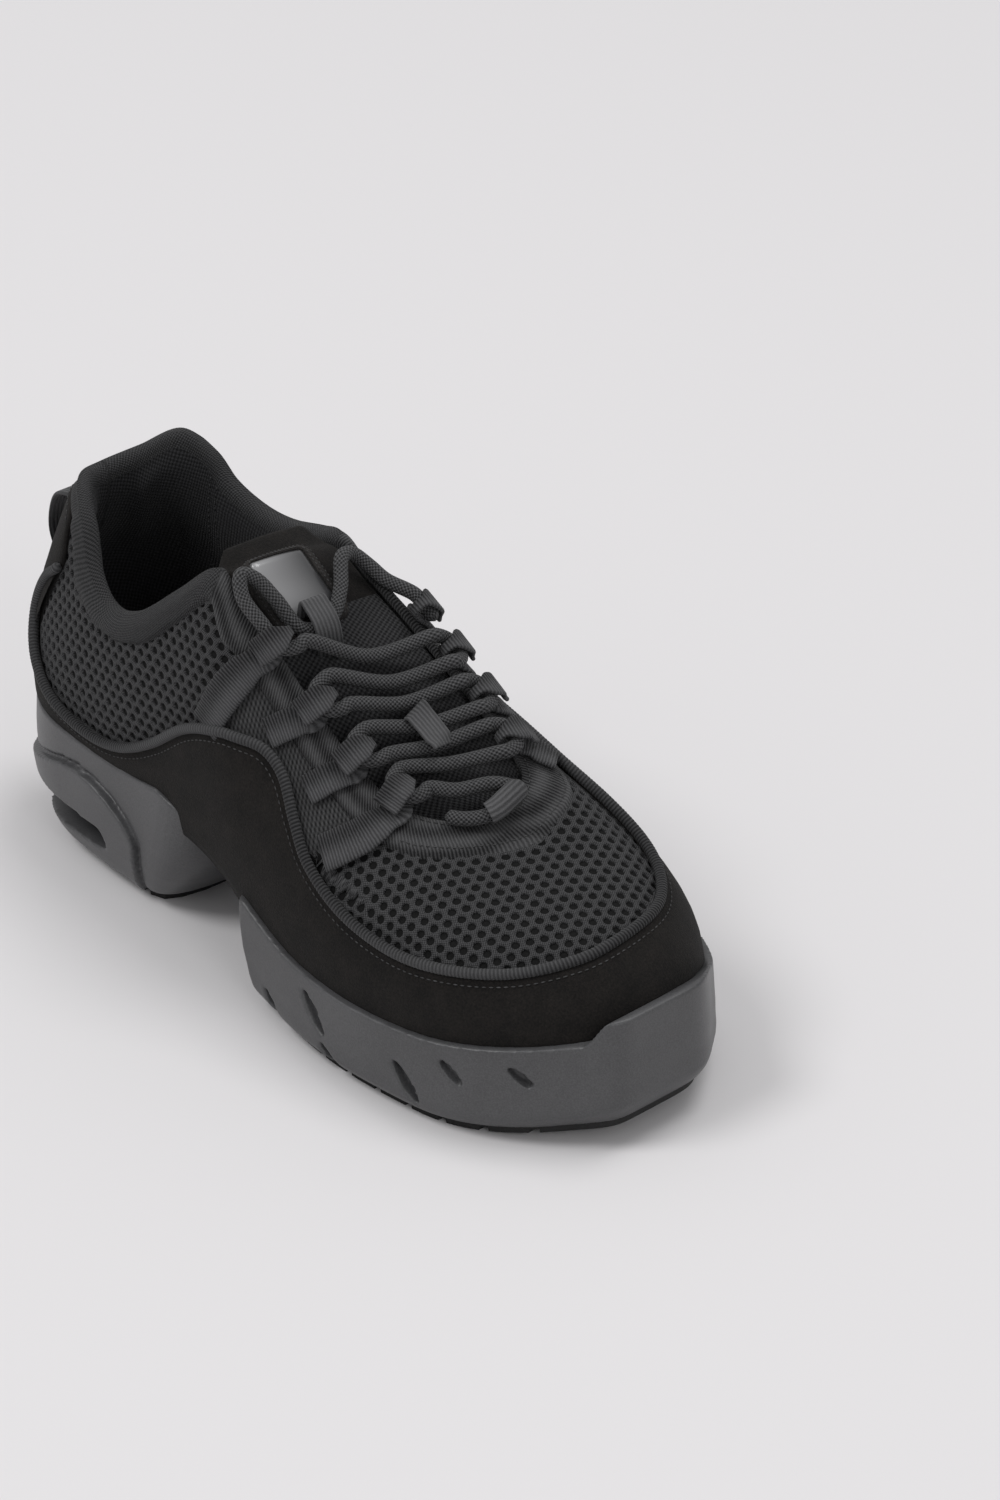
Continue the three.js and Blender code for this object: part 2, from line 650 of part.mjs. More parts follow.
function sweep(shape, route, steps) {
  return new THREE.ExtrudeGeometry(shape, { steps, extrudePath: route, bevelEnabled: false });
}

function pipingPlace(share) {
  const { around, up } = lineAt(share * pipingEnd);
  return surfacePoint(around, up, pieceGap + pipingRadius);
}

addPiece('piping', sweep(roundShape(pipingRadius, 6), new Route(pipingPlace), pipingSteps), webbing);

const patchList = Array.from({ length: patchSteps }, (unused, i) => i * rowCount / patchSteps);
const patch = toSolid(joinSections(patchList.map(patchSection), true));
const allRows = bodyShares.length + 3;
const suedeOuter = upperForm(suedeOut, pieceGap, 0, allRows);
const suedeShell = suedeOuter.subtract(upperForm(pieceGap, heelLip, 0, allRows));
addPiece('suede_overlay', toGeometry(patch.intersect(suedeShell)), suede);

// The room that the sole leaves for the upper and its suede
const roomGap = suedeOut + pieceGap;
const room = upperForm(roomGap, 2 * pieceGap, 1, 4);

// One side of a sole's outline between two places on the feather line; an end that does not follow the
// foot's own round is closed by a rounded corner of the given reach
const sideSteps = 17;
const cornerSteps = 4;
const cornerShape = (angle) => [Math.cos(angle) ** 0.7, Math.sin(angle) ** 0.7];

function outlineSide(side, limits, grow) {
  const turn = (around) => (side < 0 ? around : 2 - around);
  const edge = (around, which = turn(around)) => footPoint(which).addScaledVector(outwardAt(which), grow);
  const { start, end, startReach, endReach } = limits;
  const middle = (around) => (edge(around, around).y + edge(around, 2 - around).y) / 2;
  const places = [];
  for (let i = 0; startReach > 0 && i < cornerSteps; i += 1) {
    const [across, beside] = cornerShape(Math.PI / 2 * i / cornerSteps);
    const corner = edge(start);
    const y = mix(middle(start), corner.y, beside);
    places.push({ around: turn(start), x: corner.x - startReach * across, y });
  }
  for (let i = 0; i <= sideSteps; i += 1) {
    const around = mix(start, end, i / sideSteps);
    const { x, y } = edge(around);
    places.push({ around: turn(around), x, y });
  }
  for (let i = cornerSteps - 1; endReach > 0 && i >= 0; i -= 1) {
    const [across, beside] = cornerShape(Math.PI / 2 * i / cornerSteps);
    const corner = edge(end);
    const y = mix(middle(end), corner.y, beside);
    places.push({ around: turn(end), x: corner.x + endReach * across, y });
  }
  return places;
}

function outline(limits, grow) {
  const inner = outlineSide(1, limits, grow).slice(1, -1).reverse();
  return [...outlineSide(-1, limits, grow), ...inner];
}

// Heel pod
const podReach = 18;
const podEnd = podFront - treadCentre;
const podLimits = { start: 0, end: aroundOf(podEnd - podReach), startReach: 0, endReach: podReach };
const lipGrow = roomGap + cupWall;

function podRing(row, extra, base) {
  const limits = { ...podLimits, endReach: podReach + extra };
  return outline(limits, lipGrow + extra).map(({ x, y }) => {
    const lip = mix(heelLip, 0.3 * heelLip, ramp(x, podEnd - 1.3 * podReach, podEnd));
    const height = mix(base, seatHeight(x) + lip, row.level);
    return vec(x * (x > 0 ? row.front : row.rear), y * row.side, height);
  });
}

const midsoleBase = outsoleThickness + pieceGap;
const podForm = (extra) => toSolid(stackRings(podRows.map((row) => podRing(row, extra, midsoleBase))));

// A prism across the shoe, from a shape drawn in the side view
function prismAcross(shape, from, to) {
  const prism = new THREE.ExtrudeGeometry(shape, { depth: to - from, bevelEnabled: false, curveSegments: 5 });
  return toSolid(prism.rotateX(Math.PI / 2).translate(0, to, 0));
}

function panelShape() {
  const shape = new THREE.Shape();
  const top = heelSeat;
  const front = 0.27 * shoeLength - treadCentre;
  const far = -shoeLength;
  shape.moveTo(far, -top);
  shape.lineTo(front, -top);
  shape.lineTo(front, 0.5 * top);
  shape.quadraticCurveTo(front, top, front - 0.7 * top, top);
  shape.lineTo(far, top);
  return shape;
}

function slotShape() {
  const shape = new THREE.Shape();
  const centre = new THREE.Vector2(-0.034 * shoeLength, 0.41 * heelSeat);
  const half = (slotLength - slotHeight) / 2;
  const tilt = THREE.MathUtils.degToRad(6);
  const axis = new THREE.Vector2(Math.cos(tilt), Math.sin(tilt));
  const ahead = centre.clone().addScaledVector(axis, half);
  const back = centre.clone().addScaledVector(axis, -half);
  shape.absarc(ahead.x, ahead.y, slotHeight / 2, tilt - Math.PI / 2, tilt + Math.PI / 2);
  shape.absarc(back.x, back.y, slotHeight / 2, tilt + Math.PI / 2, tilt + 1.5 * Math.PI);
  return shape;
}

const podSide = 0.39 * ballWidth;
const panel = podForm(panelStep).intersect(prismAcross(panelShape(), -ballWidth, ballWidth));
const outerSlot = prismAcross(slotShape(), -ballWidth, slotDepth - podSide);
const innerSlot = prismAcross(slotShape(), podSide - slotDepth, ballWidth);
const pod = podForm(0).add(panel).subtract(room).subtract(outerSlot).subtract(innerSlot);
addPiece('midsole_heel', toGeometry(pod), foam);

// Forefoot platform with its raised, flat toe bumper
const platformReach = 7;
const platformStart = forefootRear - treadCentre;
const platformLimits = {
  start: aroundOf(platformStart + platformReach),
  end: 1,
  startReach: platformReach,
  endReach: 0,
};
const toeFace = footStart + footLength + lipGrow;
const springStart = 0.80 * shoeLength - treadCentre;
const springAt = (x) => toeSpring * Math.max(0, (x - springStart) / (toeFace - springStart)) ** 2;
const bumperAt = (around) => ramp(around, 0.89, 0.94) * (1 - ramp(around, 1.09, 1.14));

function platformRing(row, extra, rise = 0) {
  const limits = { ...platformLimits, startReach: platformReach + extra };
  return outline(limits, lipGrow + row.flare * ballWidth + extra).map(({ around, x, y }) => {
    const bumper = bumperAt(around);
    const rearRise = ramp(x, platformStart - platformReach, platformStart + platformReach);
    const lip = mix(forefootLip, bumperLip, bumper) * rearRise;
    const front = mix(x, toeFace + row.flare * ballWidth + extra, bumper);
    return vec(front, y, rise + mix(midsoleBase + springAt(front), seatHeight(x) + lip, row.level));
  });
}

function platformForm(extra, rise = 0) {
  return toSolid(stackRings(platformRows.map((row) => platformRing(row, extra, rise))));
}

// A leaf-shaped slash in the side wall, its upper end leaning to the heel
function slashCut(row, side) {
  const x = footX(row.along);
  const around = side < 0 ? aroundOf(x) : 2 - aroundOf(x);
  const outward = outwardAt(around);
  const wallHeight = seatHeight(x) + forefootLip;
  const place = footPoint(around).addScaledVector(outward, lipGrow - slashDepth).setZ(row.up * wallHeight);
  const heelward = vec(-Math.abs(outward.y), outward.x * Math.sign(outward.y), 0);
  const lean = THREE.MathUtils.degToRad(row.lean);
  const lengthwise = heelward.multiplyScalar(Math.cos(lean)).addScaledVector(vec(0, 0, 1), Math.sin(lean));
  const leaf = new THREE.Shape();
  const half = row.length / 2;
  leaf.moveTo(-half, 0);
  leaf.quadraticCurveTo(0, -0.24 * row.length, half, 0);
  leaf.quadraticCurveTo(0, 0.12 * row.length, -half, 0);
  const leafDepth = { depth: 4 * slashDepth, bevelEnabled: false, curveSegments: 3 };
  const blank = new THREE.ExtrudeGeometry(leaf, leafDepth);
  const crosswise = outward.clone().cross(lengthwise);
  const turn = new THREE.Matrix4().makeBasis(lengthwise, crosswise, outward).setPosition(place);
  return toSolid(blank.applyMatrix4(turn));
}

let platform = platformForm(0).subtract(room);
for (const row of slashRows) {
  platform = platform.subtract(slashCut(row, -1)).subtract(slashCut(row, 1));
}
addPiece('midsole_forefoot', toGeometry(platform), foam);

// Outsoles: dark plates below, with cross grooves that leave the tread in bars
const treadGroove = { width: 3, depth: 1.3 };

function grooveAcross(x, width, depth) {
  const cut = new THREE.BoxGeometry(width, 2 * ballWidth, 2 * depth);
  return toSolid(cut.translate(x, 0, springAt(x)));
}

const outsoleInset = 1.5;
const heelTread = [0, 1].map((level) => {
  return podRing(podRows[0], -outsoleInset, 0).map((place) => place.setZ(level * outsoleThickness));
});
let heelPlate = toSolid(stackRings(heelTread));
for (const share of [-0.05, 0.03, 0.09]) {
  heelPlate = heelPlate.subtract(grooveAcross(share * shoeLength, treadGroove.width, treadGroove.depth));
}
addPiece('outsole_heel', toGeometry(heelPlate), rubber);

const foreTread = [0, 1].map((level) => platformRing(platformRows[0], -outsoleInset).map((place) => {
  return place.setZ(springAt(place.x) + level * outsoleThickness);
}));
let forePlate = toSolid(stackRings(foreTread)).subtract(platformForm(0, -pieceGap));
for (const along of [0.56, 0.615, 0.665, 0.715, 0.76, 0.81, 0.86, 0.91]) {
  forePlate = forePlate.subtract(grooveAcross(footX(along), treadGroove.width, treadGroove.depth));
}
addPiece('outsole_forefoot', toGeometry(forePlate), rubber);

// Arch cover: closes the upper from below between the two soles
const coverSteps = 12;
const coverGap = 3 * pieceGap;
const coverSections = Array.from({ length: coverSteps + 1 }, (unused, i) => {
  const x = mix(podEnd - podReach, platformStart + 2 * platformReach, i / coverSteps);
  const outer = footPoint(aroundOf(x)).y + coverGap;
  const inner = footPoint(2 - aroundOf(x)).y - coverGap;
  const top = seatHeight(x) - coverGap;
  const low = top - archCoverThickness;
  return [vec(x, outer, low), vec(x, inner, low), vec(x, inner, top), vec(x, outer, top)];
});
const coverBlank = toSolid(joinSections(coverSections, false));
const cover = coverBlank.subtract(podForm(coverGap)).subtract(platformForm(coverGap));
addPiece('arch_cover', toGeometry(cover), rubber);

// Insole on the flange
function insoleRing(inset, height) {
  const out = -(upperWall + insoleGap + inset);
  return aroundList.map((around) => seatPoint(around, out, upperWall + pieceGap + height));
}

const insoleEdge = 1.2;
const insoleSide = [0, 0.7 * insoleThickness].map((height) => insoleRing(0, height));
const insoleRings = [...insoleSide, insoleRing(insoleEdge, insoleThickness)];
addPiece('insole', stackRings(insoleRings), lining);

// Tongue: tucked under both edges of the throat and under the vamp, crowned between them
const tongueGap = 0.7;
const tuck = 9;
const outerStation = (share) => mix(0.415, 0.90, share);
const innerStation = (share) => 2 - mix(0.415, 0.81, share);
const tongueDown = vec(-0.5, 0, -0.86);
const underWall = (around, up) => surfacePoint(around, up, -(wallDepth(around, up) + tongueGap));

function tonguePlace(share, across) {
  const outer = underWall(outerStation(share), 1);
  const inner = underWall(innerStation(share), 1);
  const crown = tongueCrown * (1 - ramp(share, 0.7, 1.1));
  return outer.lerp(inner, across).addScaledVector(tongueDown, -crown * 4 * across * (1 - across));
}

function tongueSection(share) {
  const outer = outerStation(share);
  const inner = innerStation(share);
  const tucked = (around) => underWall(around, upBelowRim(around, tuck));
  const middle = [0, 0.12, 0.3, 0.5, 0.7, 0.88, 1].map((across) => tonguePlace(share, across));
  const top = [tucked(outer), ...middle, tucked(inner)];
  const depths = [0.28, 0.32, 0.5, 1, 1, 1, 0.5, 0.32, 0.28].map((depth) => depth * tongueThickness);
  const low = top.map((place, i) => {
    if (i > 1 && i < top.length - 2) return place.clone().addScaledVector(tongueDown, depths[i]);
    const around = i < 2 ? outer : inner;
    return place.clone().addScaledVector(slopesAt(around, 1).normal, -depths[i]);
  });
  return [...top, ...low.reverse()];
}

// The free top end, a little narrower than the throat
function tongueTop(rise) {
  const first = tongueSection(0);
  const centre = first.reduce((sum, place) => sum.add(place), vec(0, 0, 0)).divideScalar(first.length);
  return first.map((place) => {
    const level = mix(tonguePlace(0, 0.5).z, place.z, 0.6);
    return vec(mix(centre.x, place.x, 0.8) - 0.75 * rise, mix(centre.y, place.y, 0.8), level + 0.35 * rise);
  });
}

// The sewn lower end, under the vamp
function tongueFoot(distance) {
  const stations = Array.from({ length: 9 }, (unused, i) => mix(0.93, 1.16, i / 8));
  const top = stations.map((around) => underWall(around, upBelowRim(around, distance)));
  const low = stations.map((around, i) => {
    return top[i].clone().addScaledVector(slopesAt(around, 1).normal, -0.3 * tongueThickness);
  });
  return [...top, ...low.reverse()];
}

const tongueShares = Array.from({ length: 11 }, (unused, i) => i / 10);
const tongueBody = tongueShares.map(tongueSection);
const tongueSections = [tongueTop(tongueRise), ...tongueBody, tongueFoot(0), tongueFoot(tuck)];
addPiece('tongue', joinSections(tongueSections, false), lining);

// A flat strip along a path of places with their own side direction and width
function strip(stations, thickness) {
  const sections = stations.map(({ place, side, width }, i) => {
    const back = stations[Math.max(0, i - 1)].place;
    const ahead = stations[Math.min(stations.length - 1, i + 1)].place;
    const across = side.clone().normalize().multiplyScalar(width / 2);
    const face = ahead.clone().sub(back).cross(across).normalize().multiplyScalar(thickness / 2);
    const corner = (sideways, upward) => {
      return place.clone().addScaledVector(across, sideways).addScaledVector(face, upward);
    };
    return [corner(-1, -1), corner(1, -1), corner(1, 1), corner(-1, 1)];
  });
  return joinSections(sections, false);
}

// Badge plate on the tongue, bare
function badgeSection(share) {
  const shares = [0.16, 0.27, 0.38, 0.49, 0.60];
  const low = shares.map((across) => tonguePlace(share, across).addScaledVector(tongueDown, -2 * pieceGap));
  const top = low.map((place) => place.clone().addScaledVector(tongueDown, -badgeThickness));
  return [...low, ...top.reverse()];
}

const badgeStart = 0.02;
const badgeEnd = badgeStart + badgeLength / (0.34 * shoeLength);
const badgeShares = [0, 0.33, 0.67, 1].map((share) => mix(badgeStart, badgeEnd, share));
addPiece('badge', joinSections(badgeShares.map(badgeSection), false), plate);

// Where the lace turns in a strap's eye: its centre over the rim and the directions across and along
const eyeLift = throatBandStep + strapLift + webbingThickness + pieceGap + laceRadius;
const eyeRadius = laceRadius + pieceGap + webbingThickness / 2;

function eyeFrame(around) {
  const { along, normal } = slopesAt(around, 1);
  const toeward = along.normalize().multiplyScalar(Math.sign(along.x));
  const inward = toeward.clone().cross(normal);
  if (inward.y * ribPoint(around, 1).y > 0) inward.negate();
  return { centre: ribPoint(around, 1).addScaledVector(normal, eyeLift), toeward, inward, normal };
}

// A strap lies on the upper from the piping to the rim, goes round the lace and comes back onto itself
const eyePath = [
  { across: 0.0, above: -1.00, width: 1.00 },
  { across: 1.0, above: -0.97, width: 0.60 },
  { across: 1.55, above: -0.60, width: 0.36 },
  { across: 1.75, above: 0.00, width: 0.36 },
  { across: 1.55, above: 0.60, width: 0.36 },
  { across: 1.0, above: 0.97, width: 0.60 },
  { across: 0.0, above: 1.00, width: 1.00 },
  { across: -0.8, above: 0.76, width: 1.00 },
  { across: -1.35, above: 0.12, width: 1.00 },
  { across: -2.1, above: -0.36, width: 0.96 },
];

function strapStations(row) {
  const eye = eyeFrame(row.eye);
  const path = (share, lift) => {
    const around = mix(row.root, row.eye, share);
    const up = mix(row.up, 0.93, share);
    const { normal } = slopesAt(around, up);
    const place = surfacePoint(around, up, lift + outerLift(around, up));
    return { place, normal };
  };
  const lower = [0, 0.22, 0.44, 0.66, 0.84, 1].map((share) => {
    const { place, normal } = path(share, strapLift + webbingThickness / 2);
    const run = path(share + 0.02, 0).place.sub(path(share - 0.02, 0).place);
    const side = run.cross(normal);
    return { place, side: side.multiplyScalar(Math.sign(side.dot(eye.toeward))), width: strapWidth };
  });
  const round = eyePath.map(({ across, above, width }) => {
    const place = eye.centre.clone().addScaledVector(eye.inward, across * eyeRadius);
    place.addScaledVector(eye.normal, above * eyeRadius);
    return { place, side: eye.toeward, width: width * strapWidth };
  });
  return [...lower, ...round];
}

for (const row of strapRows) {
  addPiece(row.name, strip(strapStations(row), webbingThickness), webbing);
}

// The straight line between the two edges of the throat, crowned like the tongue
function rimPlace(x, low, high) {
  let [near, far] = [low, high];
  for (let i = 0; i < 30; i += 1) {
    const middle = (near + far) / 2;
    if (ribPoint(middle, 1).x < x) near = middle;
    else far = middle;
  }
  return ribPoint((near + far) / 2, 1);
}

function throatHeight(x, y) {
  const outer = rimPlace(x, 0.42, 1);
  const inner = rimPlace(x, 1.58, 1.12);
  const share = Math.min(1, Math.max(0, (y - outer.y) / (inner.y - outer.y)));
  return mix(outer.z, inner.z, share) + tongueCrown * 4 * share * (1 - share);
}

// The lace: one cord that runs through the eyes in turn and crosses the tongue between them
function turnPlaces(around, places) {
  const eye = eyeFrame(around);
  return places.map(([across, along]) => {
    return eye.centre.clone().addScaledVector(eye.inward, across).addScaledVector(eye.toeward, along);
  });
}

const legEnd = 1.5 * laceTurn;
const bend = [0.29 * laceTurn, 0.71 * laceTurn];
const fullTurn = [[legEnd, -laceTurn], [laceTurn, -laceTurn], [bend[0], -bend[1]], [0, 0],
  [bend[0], bend[1]], [laceTurn, laceTurn], [legEnd, laceTurn]];
const firstTurn = fullTurn.slice(3);
const listed = (name) => laceRows.filter((row) => row.name === name).map(({ along, across, lift }) => {
  const x = footX(along);
  const y = across * ballWidth;
  return vec(x, y, throatHeight(x, y) + lift * laceRadius);
});

const eyes = Object.fromEntries(strapRows.map((row) => [row.name, row.eye]));
const crossings = ['inner_2', 'outer_2', 'inner_3', 'outer_3', 'inner_4', 'outer_4'];
const lacePlaces = [
  ...turnPlaces(eyes.strap_inner_1, [[0, laceTurn], [0, 0], [0, -laceTurn]]),
  ...listed('inner top'),
  ...listed('under the loop'),
  ...listed('outer top'),
  ...turnPlaces(eyes.strap_outer_1, [[0, -laceTurn]]),
  ...turnPlaces(eyes.strap_outer_1, firstTurn),
];
for (const name of crossings) {
  const turn = turnPlaces(eyes[`strap_${name}`], fullTurn);
  const last = lacePlaces[lacePlaces.length - 1];
  const middle = last.clone().lerp(turn[0], 0.5);
  lacePlaces.push(middle.setZ(throatHeight(middle.x, middle.y) + 1.2 * laceRadius), ...turn);
}
lacePlaces.push(...listed('toe'));

const laceCurve = new THREE.CatmullRomCurve3(lacePlaces, false, 'centripetal');
const laceRoute = new Route((share) => laceCurve.getPoint(share));
addPiece('lace', sweep(roundShape(laceRadius, 6), laceRoute, lacePlaces.length - 1), webbing);

// Webbing tapes over the lace on the tongue: an end either dips between two turns of the lace or stands on
// the tongue; a slant turns the edges to lie beside the cord
const slopeStretch = 1.5;
const loopHigh = 1.2 * laceRadius + slopeStretch * (laceRadius + pieceGap + webbingThickness / 2);
const dipBow = [[0, 0.86], [0.1, 0.95], [0.3, 1], [0.7, 1], [0.9, 0.96], [1, 0.86]];
const footBow = [[0, -0.06], [0.04, 0.4], [0.15, 0.93], [0.33, 1], [0.72, 1], [0.87, 0.8], [0.97, 0.3],
  [1, -0.06]];

function loopOver({ start, end, across, slant, tilt, bow }) {
  return strip(bow.map(([share, height]) => {
    const x = mix(start, end, share);
    const place = vec(x, across, throatHeight(x, across) + height * loopHigh);
    return { place, side: vec(slant, 1, tilt), width: strapWidth };
  }), webbingThickness);
}

const keeper = { start: footX(0.5894), end: footX(0.6377), across: 0.02 * ballWidth, slant: -0.88, tilt: 0.5 };
const topLoop = { start: footX(0.449), end: footX(0.485), across: -0.06 * ballWidth, slant: 0.1, tilt: 0 };
addPiece('tongue_keeper', loopOver({ ...keeper, bow: dipBow }), webbing);
addPiece('tongue_loop', loopOver({ ...topLoop, bow: footBow }), webbing);

// Webbing channel over the lace at the toe end of the throat
const toeFirst = lacePlaces.length - laceRows.filter((row) => row.name === 'toe').length;
const channelStart = lacePlaces[toeFirst + 3];
const channelEnd = lacePlaces[toeFirst + 4];
const channelUp = vec(0.4, 0, 1).normalize();
const channelSide = channelEnd.clone().sub(channelStart).cross(channelUp).normalize();
const channelSections = [0.03, 0.95].map((share) => {
  const place = channelStart.clone().lerp(channelEnd, share);
  const arc = (radius) => [12, 50, 90, 130, 168].map((degrees) => {
    const angle = THREE.MathUtils.degToRad(degrees);
    const point = place.clone().addScaledVector(channelSide, radius * Math.cos(angle));
    return point.addScaledVector(channelUp, radius * Math.sin(angle));
  });
  const bore = laceRadius + 5 * pieceGap;
  return [...arc(bore + webbingThickness), ...arc(bore).reverse()];
});
addPiece('toe_loop', stackRings(channelSections), webbing);

// Pull tab at the heel: a loop of tape that stands off the suede
const tabRows = [[0.86, 0], [0.84, 0.35], [0.79, 0.85], [0.72, 1], [0.64, 0.8], [0.58, 0.3], [0.56, 0]];
const tabStations = tabRows.map(([up, out]) => {
  const lift = suedeOut + pieceGap + webbingThickness / 2 + out * tabReach;
  return { place: surfacePoint(0, up, lift), side: vec(0, 1, 0), width: tabWidth };
});
addPiece('pull_tab', strip(tabStations, webbingThickness), webbing);

export default shoe;
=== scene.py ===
"""A low dance sneaker for the right foot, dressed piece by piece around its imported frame.

Sizes in the tables and functions are millimetres in the frame's own axes: +X to the toe, +Y to the inner
side of the foot, +Z up, with the origin on the floor below the heel. Meshes are made in metres.
"""

import math

import bmesh
import bpy
import numpy as np
from mathutils import Matrix, Vector
from mathutils.bvhtree import BVHTree


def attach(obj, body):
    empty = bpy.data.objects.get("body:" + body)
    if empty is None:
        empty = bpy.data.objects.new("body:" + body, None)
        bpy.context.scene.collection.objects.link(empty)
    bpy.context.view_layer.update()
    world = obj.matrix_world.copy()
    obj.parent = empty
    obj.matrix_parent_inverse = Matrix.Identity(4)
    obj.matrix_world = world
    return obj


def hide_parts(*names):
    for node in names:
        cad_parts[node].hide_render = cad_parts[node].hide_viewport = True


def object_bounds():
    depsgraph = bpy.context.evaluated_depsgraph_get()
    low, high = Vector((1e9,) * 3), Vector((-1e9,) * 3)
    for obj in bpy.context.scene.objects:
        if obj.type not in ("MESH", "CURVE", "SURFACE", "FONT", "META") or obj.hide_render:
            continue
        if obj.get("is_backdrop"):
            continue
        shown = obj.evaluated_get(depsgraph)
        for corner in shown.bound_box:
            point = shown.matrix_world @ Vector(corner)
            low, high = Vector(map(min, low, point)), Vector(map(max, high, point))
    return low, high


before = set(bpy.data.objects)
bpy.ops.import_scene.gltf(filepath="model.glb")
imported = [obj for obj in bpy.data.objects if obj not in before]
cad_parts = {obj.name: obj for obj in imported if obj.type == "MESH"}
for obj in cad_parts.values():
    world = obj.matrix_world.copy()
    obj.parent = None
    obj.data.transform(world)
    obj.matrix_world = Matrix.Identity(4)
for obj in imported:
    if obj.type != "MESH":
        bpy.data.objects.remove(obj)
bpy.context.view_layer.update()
scene = bpy.context.scene
MM = 0.001

# Camera at the photograph's angle

AZIMUTH = math.radians(48.1)
ELEVATION = math.radians(30.8)
DISTANCE = 1306
LENS = 107.1
SENSOR = 36
AIM = np.array([90.0, 0.0, 55.0])
AIM_RIGHT = 40.4
AIM_UP = 10.9


def make_camera():
    right = np.array([math.cos(AZIMUTH), math.sin(AZIMUTH), 0.0])
    level = np.array([math.sin(AZIMUTH), -math.cos(AZIMUTH), 0.0])
    back = level * math.cos(ELEVATION) + np.array([0.0, 0.0, math.sin(ELEVATION)])
    up = np.cross(back, right)
    place = AIM + right * AIM_RIGHT + up * AIM_UP + back * DISTANCE
    data = bpy.data.cameras.new("camera")
    data.lens = LENS
    data.sensor_width = SENSOR
    camera = bpy.data.objects.new("camera", data)
    scene.collection.objects.link(camera)
    axes = np.column_stack([right, up, back])
    camera.matrix_world = Matrix.Translation(Vector(place * MM)) @ Matrix(axes.tolist()).to_4x4()
    scene.camera = camera


make_camera()

# Driving sizes

SHOE_LENGTH = 264.0
BALL_WIDTH = 92.0
COLLAR_HEIGHT = 115.0
INSTEP_HEIGHT = 123.0
HEEL_SEAT = 35.0
TREAD_CENTRE = 44.0
UPPER_WALL = 2.2
COLLAR_PAD = 4.5
COLLAR_BAND = 8.4
COLLAR_STEP = 1.5
THROAT_BAND = 14.0
THROAT_END = 9.0
THROAT_STEP = 1.0
FLANGE = 11.0
GAP = 0.3
SUEDE = 1.4
PIPING_RADIUS = 1.7
WEBBING = 1.3
STRAP_WIDTH = 8.6
STRAP_LIFT = 0.75
LACE_RADIUS = 2.2
LACE_TURN = 5.0
CUP_WALL = 2.6
HEEL_LIP = 11.5
FOREFOOT_LIP = 5.5
BUMPER_LIP = 14.0
OUTSOLE = 2.4
TOE_SPRING = 7.0
POD_FRONT = 106.0
FOREFOOT_REAR = 126.0
TONGUE = 5.0
TONGUE_CROWN = 3.0
TONGUE_GAP = 0.7
SUEDE_OUT = GAP + SUEDE
ROOM_GAP = SUEDE_OUT + GAP

# Half widths of the feather line along the foot: along, outer, inner

PLAN_ROWS = [
    (0.00, 0.325, 0.325),
    (0.10, 0.345, 0.345),
    (0.20, 0.365, 0.345),
    (0.30, 0.375, 0.325),
    (0.42, 0.400, 0.315),
    (0.52, 0.440, 0.350),
    (0.62, 0.480, 0.420),
    (0.70, 0.495, 0.475),
    (0.78, 0.480, 0.500),
    (0.86, 0.445, 0.495),
    (0.93, 0.385, 0.460),
    (1.00, 0.300, 0.390),
]

# Height of the feather line: along, share of the heel seat

SEAT_ROWS = [
    (0.00, 1.00),
    (0.15, 0.985),
    (0.28, 1.00),
    (0.38, 1.06),
    (0.45, 0.97),
    (0.52, 0.76),
    (0.60, 0.615),
    (0.68, 0.585),
    (0.77, 0.60),
    (0.88, 0.685),
    (1.00, 0.83),
]

# The rim: around, along, across, share of collar height, share of instep height

RIM_ROWS = [
    (0.00, 0.049, 0.000, 1.00, 0.000),
    (0.06, 0.057, -0.098, 1.00, 0.000),
    (0.12, 0.091, -0.185, 0.99, 0.000),
    (0.17, 0.125, -0.239, 0.95, 0.000),
    (0.22, 0.159, -0.293, 0.60, 0.244),
    (0.27, 0.205, -0.326, 0.40, 0.382),
    (0.33, 0.273, -0.337, 0.20, 0.618),
    (0.38, 0.333, -0.304, 0.00, 0.911),
    (0.42, 0.383, -0.272, 0.00, 1.000),
    (0.47, 0.420, -0.250, 0.00, 0.927),
    (0.52, 0.462, -0.217, 0.00, 0.829),
    (0.60, 0.530, -0.196, 0.00, 0.699),
    (0.68, 0.595, -0.185, 0.00, 0.610),
    (0.77, 0.648, -0.152, 0.00, 0.561),
    (0.86, 0.686, -0.065, 0.00, 0.541),
    (1.00, 0.708, 0.054, 0.00, 0.545),
    (1.14, 0.708, 0.152, 0.00, 0.569),
    (1.23, 0.686, 0.217, 0.00, 0.602),
    (1.32, 0.636, 0.250, 0.00, 0.650),
    (1.40, 0.568, 0.261, 0.00, 0.724),
    (1.48, 0.485, 0.261, 0.00, 0.821),
    (1.53, 0.424, 0.250, 0.00, 0.894),
    (1.58, 0.371, 0.261, 0.00, 0.943),
    (1.62, 0.326, 0.293, 0.00, 0.911),
    (1.67, 0.265, 0.315, 0.20, 0.683),
    (1.73, 0.205, 0.326, 0.40, 0.488),
    (1.78, 0.163, 0.315, 0.70, 0.240),
    (1.83, 0.136, 0.293, 1.025, 0.000),
    (1.88, 0.106, 0.228, 1.085, 0.000),
    (1.94, 0.064, 0.130, 1.025, 0.000),
]

# The rib that climbs to the rim: around, rise, bulge, reach, drop, as shares of the ball width

